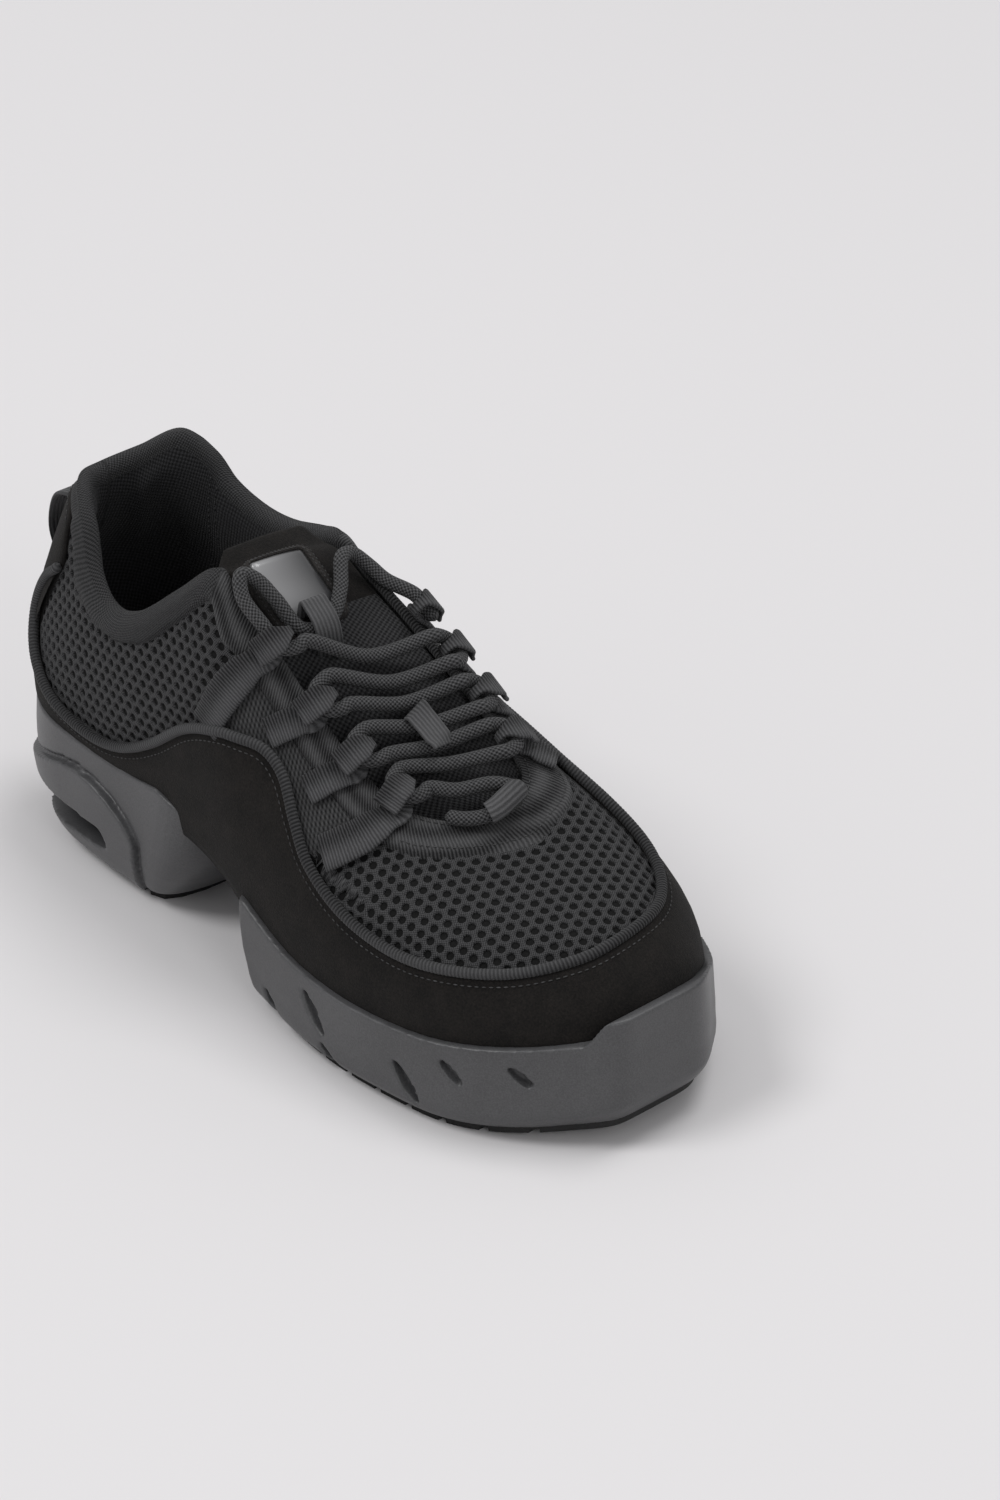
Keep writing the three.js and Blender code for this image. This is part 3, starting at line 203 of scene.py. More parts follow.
RIB_ROWS = [
    (0.00, 0.36, 0.140, 0.09, 0.28),
    (0.06, 0.35, 0.138, 0.09, 0.28),
    (0.12, 0.31, 0.112, 0.06, 0.28),
    (0.17, 0.27, 0.080, 0.04, 0.26),
    (0.22, 0.24, 0.054, 0.04, 0.20),
    (0.27, 0.22, 0.054, 0.04, 0.17),
    (0.33, 0.22, 0.054, 0.05, 0.20),
    (0.38, 0.24, 0.043, 0.08, 0.22),
    (0.42, 0.26, 0.043, 0.11, 0.20),
    (0.47, 0.26, 0.043, 0.13, 0.15),
    (0.52, 0.26, 0.043, 0.14, 0.12),
    (0.60, 0.26, 0.043, 0.16, 0.10),
    (0.68, 0.26, 0.043, 0.17, 0.08),
    (0.77, 0.26, 0.043, 0.22, 0.065),
    (0.86, 0.27, 0.033, 0.35, 0.087),
    (1.00, 0.28, 0.022, 0.48, 0.109),
    (1.14, 0.27, 0.033, 0.37, 0.087),
    (1.23, 0.27, 0.043, 0.26, 0.065),
    (1.32, 0.28, 0.043, 0.20, 0.076),
    (1.40, 0.29, 0.043, 0.16, 0.10),
    (1.48, 0.30, 0.043, 0.13, 0.12),
    (1.53, 0.29, 0.043, 0.11, 0.15),
    (1.58, 0.28, 0.043, 0.10, 0.17),
    (1.62, 0.26, 0.043, 0.08, 0.20),
    (1.67, 0.24, 0.054, 0.05, 0.20),
    (1.73, 0.24, 0.054, 0.04, 0.20),
    (1.78, 0.25, 0.054, 0.04, 0.22),
    (1.83, 0.27, 0.070, 0.04, 0.26),
    (1.88, 0.30, 0.100, 0.05, 0.28),
    (1.94, 0.34, 0.130, 0.08, 0.28),
]

# The piping's line over the side and the start of the suede below it: root, around, up

PIPING_ROWS = [
    (0.088, 0.142, 0.74),
    (0.094, 0.118, 0.63),
    (0.100, 0.104, 0.51),
    (0.108, 0.108, 0.41),
    (0.132, 0.142, 0.325),
    (0.175, 0.190, 0.285),
    (0.240, 0.250, 0.275),
    (0.310, 0.315, 0.290),
    (0.370, 0.370, 0.345),
    (0.425, 0.425, 0.425),
    (0.485, 0.485, 0.56),
    (0.525, 0.528, 0.645),
    (0.553, 0.558, 0.64),
    (0.580, 0.578, 0.55),
    (0.605, 0.600, 0.46),
    (0.650, 0.650, 0.385),
    (0.720, 0.720, 0.355),
    (0.820, 0.820, 0.365),
    (0.920, 0.920, 0.420),
    (1.020, 1.020, 0.470),
    (1.120, 1.120, 0.470),
    (1.200, 1.200, 0.52),
    (1.260, 1.260, 0.63),
    (1.320, 1.320, 0.72),
    (1.400, 1.400, 0.73),
    (1.470, 1.465, 0.68),
    (1.520, 1.520, 0.59),
    (1.590, 1.590, 0.46),
    (1.670, 1.670, 0.36),
    (1.750, 1.745, 0.295),
    (1.825, 1.812, 0.290),
    (1.868, 1.858, 0.325),
    (1.892, 1.892, 0.41),
    (1.900, 1.896, 0.51),
    (1.906, 1.882, 0.63),
    (1.912, 1.858, 0.74),
]

# The suede over the heel, under the collar's band: root, around, up

HEEL_ROWS = [
    (1.930, 1.871, 0.84),
    (1.950, 1.882, 0.93),
    (1.975, 1.920, 0.958),
    (2.000, 2.000, 0.962),
    (2.025, 2.080, 0.958),
    (2.050, 2.118, 0.93),
    (2.070, 2.129, 0.84),
]

# Side straps: the lower end on the upper, and where the lace turns: node, root, up, eye

STRAP_ROWS = [
    ("strap_outer_1", 0.452, 0.49, 0.508),
    ("strap_outer_2", 0.530, 0.70, 0.580),
    ("strap_outer_3", 0.590, 0.68, 0.652),
    ("strap_outer_4", 0.616, 0.53, 0.742),
    ("strap_inner_1", 1.500, 0.71, 1.475),
    ("strap_inner_2", 1.440, 0.77, 1.425),
    ("strap_inner_3", 1.375, 0.80, 1.365),
    ("strap_inner_4", 1.280, 0.81, 1.288),
]

# Heel pod: level, rear, front, side, each against the lip

POD_ROWS = [
    (0.00, 0.74, 0.58, 0.80),
    (0.05, 0.79, 0.64, 0.85),
    (0.22, 0.89, 0.75, 0.93),
    (0.45, 0.97, 0.86, 0.985),
    (0.70, 1.00, 0.945, 1.00),
    (1.00, 0.985, 1.00, 0.985),
]

# The heel panel's corners in the side view: x as a share of the length, z as a share of the seat height

PANEL_ROWS = [
    (-0.235, -0.03),
    (0.094, -0.03),
    (0.1135, 0.64),
    (0.108, 0.74),
    (0.093, 0.85),
    (0.066, 0.965),
    (0.036, 1.03),
    (0.004, 1.05),
    (-0.030, 1.01),
    (-0.133, 0.75),
    (-0.235, 0.47),
]

# Forefoot platform: level, flare past the lip as a share of the ball width

PLATFORM_ROWS = [
    (0.00, -0.018),
    (0.08, 0.004),
    (0.35, 0.010),
    (0.70, 0.004),
    (1.00, -0.003),
]

# Slashes in the platform's side: along, up, length, lean in degrees

SLASH_ROWS = [
    (0.567, 0.22, 15, 43),
    (0.645, 0.62, 17, 42),
    (0.675, 0.20, 13, 36),
    (0.787, 0.42, 16, 46),
    (0.838, 0.70, 12, 41),
    (0.902, 0.72, 11.5, 38),
]

# Places of the lace between its turns: along, across, lift in lace radii above the throat

LACE_TOP_ROWS = [
    (0.448, 0.256, 1.2),
    (0.430, 0.232, 1.4),
    (0.418, 0.190, 2.0),
    (0.422, 0.140, 2.2),
    (0.446, 0.075, 1.4),
    (0.462, 0.010, 1.0),
    (0.468, -0.060, 1.0),
    (0.460, -0.125, 1.2),
    (0.436, -0.165, 2.2),
    (0.418, -0.200, 2.8),
    (0.411, -0.240, 2.8),
    (0.424, -0.268, 2.6),
]
LACE_TOE_ROWS = [
    (0.674, -0.020, 1.5),
    (0.697, 0.080, 1.7),
    (0.713, 0.135, 1.9),
    (0.723, 0.085, 2.0),
    (0.719, 0.000, 1.9),
    (0.703, -0.055, 1.6),
    (0.684, -0.090, 1.4),
]


# Arithmetic that every piece uses


def mix(start, end, share):
    return start + (end - start) * share


def ramp(value, start, end):
    share = np.clip((value - start) / (end - start), 0, 1)
    return share * share * (3 - 2 * share)


def unit(vectors):
    return vectors / np.linalg.norm(vectors, axis=-1, keepdims=True)


def smooth_table(rows, period=0.0):
    """A smooth curve through a table's rows, read at any place of its first column."""
    table = np.array(rows, float)
    if period:
        shift = np.zeros(table.shape[1])
        shift[0] = period
        table = np.vstack([table[-2:] - shift, table, table[:2] + shift])
    keys, values = table[:, 0], table[:, 1:]
    spans = np.diff(keys)
    steep = np.diff(values, axis=0) / spans[:, None]
    slopes = np.empty_like(values)
    slopes[0], slopes[-1] = steep[0], steep[-1]
    back, ahead = spans[:-1, None], spans[1:, None]
    slopes[1:-1] = (steep[:-1] * ahead + steep[1:] * back) / (back + ahead)

    def read(place):
        at = np.asarray(place, float)
        if period:
            at = at % period
        index = np.clip(np.searchsorted(keys, at, side="right") - 1, 0, len(keys) - 2)
        span = spans[index][..., None]
        share = ((at - keys[index]) / spans[index])[..., None]
        start = values[index] * (1 + 2 * share) * (1 - share) ** 2
        start = start + slopes[index] * span * share * (1 - share) ** 2
        end = values[index + 1] * share * share * (3 - 2 * share)
        end = end + slopes[index + 1] * span * share * share * (share - 1)
        return np.moveaxis(start + end, -1, 0)

    return read


# The shoe's surface: ribs that climb from the feather line to the rim

HEEL_ROUND = (0.135, 2.2)
TOE_ROUND = (0.20, 2.4)
HEEL_INSET = 0.0095
TOE_INSET = 0.0265
FOOT_START = HEEL_INSET * SHOE_LENGTH - TREAD_CENTRE
FOOT_LENGTH = (1 - HEEL_INSET - TOE_INSET) * SHOE_LENGTH
STEP = 0.002
SPREAD_AT_RIM = 0.22
THROAT_BLEND = (0.39, 0.46)
BAND_NARROWS = (0.76, 0.90)
STEP_BEGINS = (0.132, 0.152)
STEP_SOFTNESS = 0.03
PAD_SWELLS = (0.50, 0.78)
PAD_THINS = (0.88, 1)
PAD_LOSS = 0.4
plan_at = smooth_table(PLAN_ROWS)
seat_at = smooth_table(SEAT_ROWS)
rim_at = smooth_table(RIM_ROWS, 2.0)
rib_at = smooth_table(RIB_ROWS, 2.0)


def foot_x(along):
    return along * SHOE_LENGTH - TREAD_CENTRE


def share_of(x):
    return np.clip((x - FOOT_START) / FOOT_LENGTH, 0, 1)


def around_of(x):
    return np.arccos(1 - 2 * share_of(x)) / np.pi


def seat_height(x):
    return seat_at(share_of(x))[0] * HEEL_SEAT


def fold(around):
    wrapped = np.mod(around, 2)
    return np.minimum(wrapped, 2 - wrapped)


def end_width(share):
    heel = np.clip(1 - share / HEEL_ROUND[0], 0, None)
    toe = np.clip((share - 1 + TOE_ROUND[0]) / TOE_ROUND[0], 0, None)
    heel_width = np.clip(1 - heel ** HEEL_ROUND[1], 0, None) ** (1 / HEEL_ROUND[1])
    return heel_width * np.clip(1 - toe ** TOE_ROUND[1], 0, None) ** (1 / TOE_ROUND[1])


def foot_point(around):
    share = 0.5 - 0.5 * np.cos(np.pi * np.asarray(around, float))
    outer, inner = plan_at(share)
    width = np.where(np.mod(around, 2) <= 1, -outer, inner) * BALL_WIDTH * end_width(share)
    return np.stack([FOOT_START + share * FOOT_LENGTH, width, seat_at(share)[0] * HEEL_SEAT], -1)


def outward_at(around):
    change = foot_point(around + STEP / 2) - foot_point(around - STEP / 2)
    return unit(np.stack([change[..., 1], -change[..., 0], 0 * change[..., 0]], -1))


def rib_point(around, up):
    around, up = np.broadcast_arrays(np.asarray(around, float), np.asarray(up, float))
    foot = foot_point(around)
    outward = outward_at(around)
    along, across, collar, instep = rim_at(around)
    rise, bulge, reach, drop = rib_at(around)
    height = collar * COLLAR_HEIGHT + instep * INSTEP_HEIGHT
    top = np.stack([foot_x(along), across * BALL_WIDTH, height], -1)
    away = foot - top + outward * SPREAD_AT_RIM * BALL_WIDTH
    away[..., 2] = 0
    low = foot + outward * (bulge * BALL_WIDTH)[..., None]
    high = top + unit(away) * (reach * BALL_WIDTH)[..., None]
    low[..., 2] += rise * BALL_WIDTH
    high[..., 2] -= drop * BALL_WIDTH
    up, down = up[..., None], 1 - up[..., None]
    return foot * down**3 + 3 * low * up * down**2 + 3 * high * up**2 * down + top * up**3


def normal_at(around, up):
    middle = np.clip(up, STEP, 1 - STEP)
    along = rib_point(around + STEP, up) - rib_point(around - STEP, up)
    climb = rib_point(around, middle + STEP) - rib_point(around, middle - STEP)
    return unit(np.cross(along, climb))


def surface(around, up, lift):
    lift = np.asarray(lift, float)
    return rib_point(around, up) + normal_at(around, up) * lift[..., None]


def up_below_rim(around, distance):
    """The place on a rib that lies a distance in millimetres below the rim."""
    along = unit(rib_point(around + STEP, 1) - rib_point(around - STEP, 1))
    climb = unit(rib_point(around, 1) - rib_point(around, 1 - STEP))
    slant = np.linalg.norm(np.cross(along, climb), axis=-1)
    places = [rib_point(around, i / 10) for i in range(11)]
    length = sum(np.linalg.norm(b - a, axis=-1) for a, b in zip(places, places[1:]))
    return 1 - distance / (length * slant)


def throat_share(around):
    return ramp(fold(around), *THROAT_BLEND)


def band_at(around):
    """Where the band at the rim starts, and how far it stands out."""
    throat = throat_share(around)
    throat_width = mix(THROAT_BAND, THROAT_END, ramp(fold(around), *BAND_NARROWS))
    collar_step = COLLAR_STEP * ramp(fold(around), *STEP_BEGINS)
    width = mix(COLLAR_BAND, throat_width, throat)
    return up_below_rim(around, width), mix(collar_step, THROAT_STEP, throat)


def outer_lift(around, up):
    start, step = band_at(around)
    return step * ramp(up, start - STEP_SOFTNESS, start + STEP_SOFTNESS)


def wall_depth(around, up):
    pad = COLLAR_PAD * (1 - throat_share(around))
    return UPPER_WALL + pad * ramp(up, *PAD_SWELLS) * (1 - PAD_LOSS * ramp(up, *PAD_THINS))


def seat_point(around, out, height):
    place = foot_point(around) + outward_at(around) * np.asarray(out, float)[..., None]
    place[..., 2] = seat_height(place[..., 0]) + height
    return place


# Meshes from grids of points


def grid_faces(rows, columns, close_rows=False, close_columns=False):
    row = np.arange(rows if close_rows else rows - 1)
    column = np.arange(columns if close_columns else columns - 1)
    i, j = np.meshgrid(row, column, indexing="ij")
    after_i, after_j = (i + 1) % rows, (j + 1) % columns
    corners = [i * columns + j, after_i * columns + j, after_i * columns + after_j, i * columns + after_j]
    return np.stack(corners, -1).reshape(-1, 4)


def signed_volume(points, faces):
    a, b, c = points[faces[:, 0]], points[faces[:, 1]], points[faces[:, 2]]
    volume = np.einsum("ij,ij->", a, np.cross(b, c))
    if faces.shape[1] == 4:
        volume += np.einsum("ij,ij->", a, np.cross(c, points[faces[:, 3]]))
    return volume


def make_piece(name, points, faces, materials, face_material=None, run=None):
    """A mesh object on the shoe's body; run gives each point its millimetres along and across the piece."""
    points = np.asarray(points, float).reshape(-1, 3)
    mesh = bpy.data.meshes.new(name)
    mesh.from_pydata((points * MM).tolist(), [], faces if isinstance(faces, list) else faces.tolist())
    for material in materials:
        mesh.materials.append(material)
    if face_material is not None:
        mesh.polygons.foreach_set("material_index", np.asarray(face_material, np.int32))
    mesh.polygons.foreach_set("use_smooth", np.ones(len(mesh.polygons), bool))
    if run is not None:
        corner = np.empty(len(mesh.loops), np.int32)
        mesh.loops.foreach_get("vertex_index", corner)
        layer = mesh.uv_layers.new(name="run")
        layer.data.foreach_set("uv", np.asarray(run, np.float32).reshape(-1, 2)[corner].ravel())
    mesh.update()
    piece = bpy.data.objects.new(name, mesh)
    scene.collection.objects.link(piece)
    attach(piece, "root")
    return piece


def closed_grid(sections, close_rows):
    """Points and outward faces of sections joined in a row, each section a closed outline."""
    rows, columns = sections.shape[:2]
    points = sections.reshape(-1, 3)
    faces = grid_faces(rows, columns, close_rows, True)
    if signed_volume(points, faces) < 0:
        faces = faces[:, ::-1]
    return points, faces


def capped(sections):
    """As closed_grid, with both ends closed by a fan to their middle."""
    points, faces = closed_grid(sections, False)
    rows, columns = sections.shape[:2]
    ends = np.array([sections[0].mean(0), sections[-1].mean(0)])
    points = np.vstack([points, ends])
    ring = np.arange(columns)
    after = (ring + 1) % columns
    turned = (faces[0] == grid_faces(rows, columns, False, True)[0]).all()
    first = [np.full(columns, rows * columns), ring, after]
    last_ring = (rows - 1) * columns
    last = [np.full(columns, rows * columns + 1), last_ring + after, last_ring + ring]
    fans = np.vstack([np.stack(first, -1), np.stack(last, -1)])
    if not turned:
        fans = fans[:, ::-1]
    return points, faces.tolist() + fans.tolist()


def lengths_along(points):
    steps = np.linalg.norm(np.diff(points, axis=0), axis=-1)
    return np.concatenate([[0], np.cumsum(steps)])


def resample(points, count):
    """Count places evenly along a line of points."""
    done = lengths_along(points)
    wanted = np.linspace(0, done[-1], count)
    return np.stack([np.interp(wanted, done, points[:, k]) for k in range(points.shape[1])], -1)


def spline(points, steps):
    """A centripetal curve through points, with the same number of steps between each two."""
    points = np.asarray(points, float)
    before = 2 * points[:1] - points[1:2]
    after = 2 * points[-1:] - points[-2:-1]
    row = np.vstack([before, points, after])
    gap = np.maximum(np.linalg.norm(np.diff(row, axis=0), axis=-1), 1e-6) ** 0.5
    t = (np.arange(steps) / steps)[:, None]
    out = []
    for i in range(1, len(row) - 2):
        a, b, c = gap[i - 1], gap[i], gap[i + 1]
        last, here, ahead, beyond = row[i - 1 : i + 3]
        start = ((here - last) / a - (ahead - last) / (a + b) + (ahead - here) / b) * b
        end = ((ahead - here) / b - (beyond - here) / (b + c) + (beyond - ahead) / c) * b
        curve = here * (1 + 2 * t) * (1 - t) ** 2 + start * t * (1 - t) ** 2
        out.append(curve + ahead * t * t * (3 - 2 * t) + end * t * t * (t - 1))
    return np.vstack(out + [points[-1:]])


def run_of(along, across):
    """The run of a grid of points: millimetres along its rows and across its columns."""
    return np.stack([along[:, None] + 0 * across, across + 0 * along[:, None]], -1)


# Shader groups


def add_node(tree, kind, inputs=None, **settings):
    node = tree.nodes.new(kind)
    for key, value in settings.items():
        setattr(node, key, value)
    for key, value in (inputs or {}).items():
        if isinstance(value, bpy.types.NodeSocket):
            tree.links.new(value, node.inputs[key])
        else:
            node.inputs[key].default_value = value
    return node


def sum_of(tree, operation, first, second=0.0, third=None):
    inputs = {0: first, 1: second}
    if third is not None:
        inputs[2] = third
    return add_node(tree, "ShaderNodeMath", inputs, operation=operation).outputs[0]


def vector_sum(tree, operation, first, second):
    return add_node(tree, "ShaderNodeVectorMath", {0: first, 1: second}, operation=operation).outputs[0]


def noise_of(tree, place, scale, detail, roughness=0.5):
    inputs = {"Vector": place, "Scale": scale, "Detail": detail, "Roughness": roughness}
    return add_node(tree, "ShaderNodeTexNoise", inputs).outputs


def start_group(name, inputs, outputs):
    group = bpy.data.node_groups.new(name, "ShaderNodeTree")
    for socket, kind in inputs:
        group.interface.new_socket(socket, in_out="INPUT", socket_type=kind)
    for socket, kind in outputs:
        group.interface.new_socket(socket, in_out="OUTPUT", socket_type=kind)
    entry = group.nodes.new("NodeGroupInput")
    leave = group.nodes.new("NodeGroupOutput")
    return group, entry.outputs, leave.inputs


FLOAT, VECTOR = "NodeSocketFloat", "NodeSocketVector"
THREAD_DRIFT = (0.45, 0.45, 0.0)
CLOUD_SHARE = 0.3


def make_weave_group():
    """Two families of threads in a piece's own run: pitch in millimetres, lean turns them against it. Its
    shade follows the thread height, so the gaps carry painted shade and the crests a painted highlight.
    """
    inputs = [("Run", VECTOR), ("Pitch", FLOAT), ("Second Pitch", FLOAT), ("Lean", FLOAT), ("Fuzz", FLOAT)]
    group, given, out = start_group("woven threads", inputs, [("Height", FLOAT), ("Shade", FLOAT)])
    drift = noise_of(group, given["Run"], 0.9, 2.0)["Color"]
    shift = vector_sum(group, "MULTIPLY", drift, THREAD_DRIFT)
    moved = vector_sum(group, "ADD", given["Run"], shift)
    parts = add_node(group, "ShaderNodeSeparateXYZ", {0: moved}).outputs
    leant = [sum_of(group, "MULTIPLY", part, given["Lean"]) for part in parts[:2]]
    along = sum_of(group, "ADD", parts[0], leant[1])
    across = sum_of(group, "SUBTRACT", parts[1], leant[0])
    waves = []
    for place, pitch in ((along, given["Pitch"]), (across, given["Second Pitch"])):
        angle = sum_of(group, "MULTIPLY", sum_of(group, "DIVIDE", place, pitch), math.tau)
        waves.append(sum_of(group, "MULTIPLY_ADD", sum_of(group, "SINE", angle), 0.5, 0.5))
    fuzz = noise_of(group, given["Run"], 3.5, 3.0, 0.7)[0]
    woven = sum_of(group, "MULTIPLY_ADD", waves[1], 0.45, sum_of(group, "MULTIPLY", waves[0], 0.55))
    group.links.new(sum_of(group, "MULTIPLY_ADD", fuzz, given["Fuzz"], woven), out["Height"])
    # The shade mixes random fuzz with the thread height: darker in the gaps as painted shade, lighter on the
    # crests as a painted highlight
    shade = sum_of(group, "MULTIPLY_ADD", fuzz, 0.5, sum_of(group, "MULTIPLY", woven, 0.7))
    group.links.new(shade, out["Shade"])
    return group


def make_fibre_group():
    """Short fibres, nap or grain on a piece, in metres of its object space."""
    inputs = [("Place", VECTOR), ("Size", FLOAT), ("Patch", FLOAT), ("Depth", FLOAT), ("Cloud", FLOAT)]
    outputs = [("Height", FLOAT), ("Shade", FLOAT), ("Patch", FLOAT)]
    group, given, out = start_group("fibres and grain", inputs, outputs)
    fine = noise_of(group, given["Place"], sum_of(group, "DIVIDE", 1.0, given["Size"]), 4.0, 0.65)[0]
    patch = noise_of(group, given["Place"], sum_of(group, "DIVIDE", 1.0, given["Patch"]), 3.0, 0.55)[0]
    group.links.new(sum_of(group, "MULTIPLY", fine, given["Depth"]), out["Height"])
    flecks = sum_of(group, "MULTIPLY", fine, sum_of(group, "SUBTRACT", 1.0, given["Cloud"]))
    shade = sum_of(group, "ADD", sum_of(group, "MULTIPLY", patch, given["Cloud"]), flecks)
    group.links.new(shade, out["Shade"])
    group.links.new(patch, out["Patch"])
    return group


weave_group = make_weave_group()
fibre_group = make_fibre_group()


def place_group(tree, group, inputs):
    node = tree.nodes.new("ShaderNodeGroup")
    node.node_tree = group
    for key, value in inputs.items():
        if isinstance(value, bpy.types.NodeSocket):
            tree.links.new(value, node.inputs[key])
        else:
            node.inputs[key].default_value = value
    return node


CLOTH_SHEEN = 0.06


def start_material(name, roughness, sheen=0.0, coat=0.0, specular=0.3):
    material = bpy.data.materials.new(name)
    material.use_nodes = True
    tree = material.node_tree
    shader = tree.nodes["Principled BSDF"]
    shader.inputs["Roughness"].default_value = roughness
    shader.inputs["Sheen Weight"].default_value = sheen
    shader.inputs["Sheen Roughness"].default_value = 0.45
    shader.inputs["Coat Weight"].default_value = coat
    shader.inputs["Specular IOR Level"].default_value = specular
    return material, tree, shader


def colour_between(tree, shader, share, dark, light, limits):
    ramp_node = add_node(tree, "ShaderNodeValToRGB", {0: share})
    stops = ramp_node.color_ramp.elements
    stops[0].position, stops[0].color = limits[0], (*dark, 1)
    stops[1].position, stops[1].color = limits[1], (*light, 1)
    tree.links.new(ramp_node.outputs[0], shader.inputs["Base Color"])


def bump_from(tree, shader, height, strength, distance_mm):
    inputs = {"Height": height, "Strength": strength, "Distance": distance_mm * MM}
    tree.links.new(add_node(tree, "ShaderNodeBump", inputs).outputs[0], shader.inputs["Normal"])


def fabric(name, dark, light, pitch, second, lean=0.0, fuzz=0.3, depth=0.35, roughness=0.85):
    """Cloth of threads that follow the piece's own run, with painted shade in the gaps between threads and a
    painted highlight on their crests.
    """
    material, tree, shader = start_material(name, roughness, CLOTH_SHEEN, specular=0.2)
    run = add_node(tree, "ShaderNodeUVMap", uv_map="run").outputs[0]
    inputs = {"Run": run, "Pitch": pitch, "Second Pitch": second, "Lean": lean, "Fuzz": fuzz}
    weave = place_group(tree, weave_group, inputs)
    colour_between(tree, shader, weave.outputs["Shade"], dark, light, (0.3, 0.92))
    bump_from(tree, shader, weave.outputs["Height"], 0.9, depth)
    return material


def grained(name, dark, light, size, patch, depth, roughness, vary=0.0, sheen=0.0, coat=0.0, specular=0.3):
    """Nap, moulded foam or smooth plate: grain and patch sizes in millimetres, vary changes the roughness."""
    material, tree, shader = start_material(name, roughness, sheen, coat, specular)
    place = add_node(tree, "ShaderNodeTexCoord").outputs["Object"]
    inputs = {"Place": place, "Size": size * MM, "Patch": patch * MM, "Depth": 1.0, "Cloud": CLOUD_SHARE}
    grain = place_group(tree, fibre_group, inputs)
    colour_between(tree, shader, grain.outputs["Shade"], dark, light, (0.40, 0.64))
    if vary:
        rough = sum_of(tree, "MULTIPLY_ADD", grain.outputs["Patch"], vary, roughness - vary / 2)
        tree.links.new(rough, shader.inputs["Roughness"])
    bump_from(tree, shader, grain.outputs["Height"], 0.8, depth)
    return material


# In the cloths made by fabric, the light colour is the thread crests with a painted highlight and the dark
# colour the gaps with painted shade
suede_look = grained(
    "black suede", (0.0022, 0.0018, 0.0015), (0.0125, 0.0103, 0.0090),
    size=0.6, patch=8.0, depth=0.45, roughness=0.97, sheen=0.02,
)
mesh_look = fabric(
    "spacer mesh", (0.008, 0.008, 0.009), (0.075, 0.075, 0.077),
    pitch=0.62, second=0.62, lean=0.5, fuzz=0.7, depth=0.22, roughness=0.75,
)
backing_look = grained(
    "mesh backing", (0.002, 0.002, 0.002), (0.006, 0.006, 0.006),
    size=0.4, patch=8.0, depth=0.1, roughness=0.95,
)
knit_look = fabric(
    "collar knit", (0.006, 0.006, 0.0065), (0.062, 0.062, 0.064),
    pitch=1.0, second=0.9, lean=0.45, fuzz=1.1, depth=0.5,
)
lining_look = fabric(
    "collar lining", (0.006, 0.006, 0.0065), (0.036, 0.036, 0.038),
    pitch=1.3, second=1.3, lean=0.2, fuzz=0.5, depth=0.3,
)
textile_look = fabric(
    "side textile", (0.005, 0.005, 0.0055), (0.095, 0.095, 0.097),
    pitch=1.5, second=1.9, lean=0.12, fuzz=1.5, depth=0.7,
)
tongue_look = fabric(
    "tongue cloth", (0.004, 0.004, 0.0045), (0.046, 0.046, 0.048),
    pitch=1.5, second=1.3, lean=0.5, fuzz=0.5, depth=0.5,
)
tape_look = fabric(
    "throat tape", (0.006, 0.006, 0.0065), (0.085, 0.085, 0.087),
    pitch=1.05, second=9.0, fuzz=0.4, depth=0.55,
)
webbing_look = fabric(
    "ribbed webbing", (0.005, 0.005, 0.0055), (0.085, 0.085, 0.088),
    pitch=0.95, second=12.0, fuzz=0.35, depth=0.55, roughness=0.7,
)
tape_loop_look = fabric(
    "long ribbed tape", (0.005, 0.005, 0.0055), (0.100, 0.100, 0.103),
    pitch=40.0, second=1.3, fuzz=0.3, depth=0.7, roughness=0.7,
)
lace_look = fabric(
    "braided lace", (0.006, 0.006, 0.0065), (0.105, 0.105, 0.108),
    pitch=1.35, second=1.35, lean=1.0, fuzz=0.3, depth=0.6, roughness=0.65,
)
piping_look = fabric(
    "ribbed piping", (0.006, 0.006, 0.0065), (0.066, 0.066, 0.068),
    pitch=1.12, second=14.0, lean=0.1, fuzz=0.35, depth=0.4, roughness=0.75,
)
foam_look = grained(
    "moulded sole foam", (0.048, 0.048, 0.050), (0.078, 0.078, 0.081),
    size=0.5, patch=22.0, depth=0.05, roughness=0.42, vary=0.14, specular=0.5,
)
rubber_look = grained(
    "outsole rubber", (0.006, 0.006, 0.006), (0.016, 0.016, 0.016),
    size=0.6, patch=10.0, depth=0.08, roughness=0.6, vary=0.1,
)
plate_look = grained(
    "tongue plate", (0.20, 0.20, 0.205), (0.26, 0.26, 0.265),
    size=1.5, patch=12.0, depth=0.01, roughness=0.3, vary=0.06, coat=0.3, specular=0.6,
)
frame_look = grained(
    "frame cloth", (0.009, 0.008, 0.0075), (0.040, 0.037, 0.035),
    size=0.4, patch=4.0, depth=0.2, roughness=0.9,
)
thread_look = grained(
    "sewing thread", (0.020, 0.020, 0.020), (0.085, 0.085, 0.087),
    size=0.2, patch=3.0, depth=0.04, roughness=0.7,
)
sock_look = grained(
    "insole cloth", (0.008, 0.008, 0.008), (0.022, 0.022, 0.023),
    size=0.4, patch=10.0, depth=0.1, roughness=0.9,
)
# Painted highlight and painted shade colours of the tongue plate, and the span across it in metres over which
# one turns into the other
PLATE_PAINTED_HIGHLIGHT = (0.33, 0.33, 0.335)
PLATE_PAINTED_SHADE = (0.045, 0.045, 0.047)
PLATE_PAINTED_LIGHT_SPAN = (-0.017, 0.003)


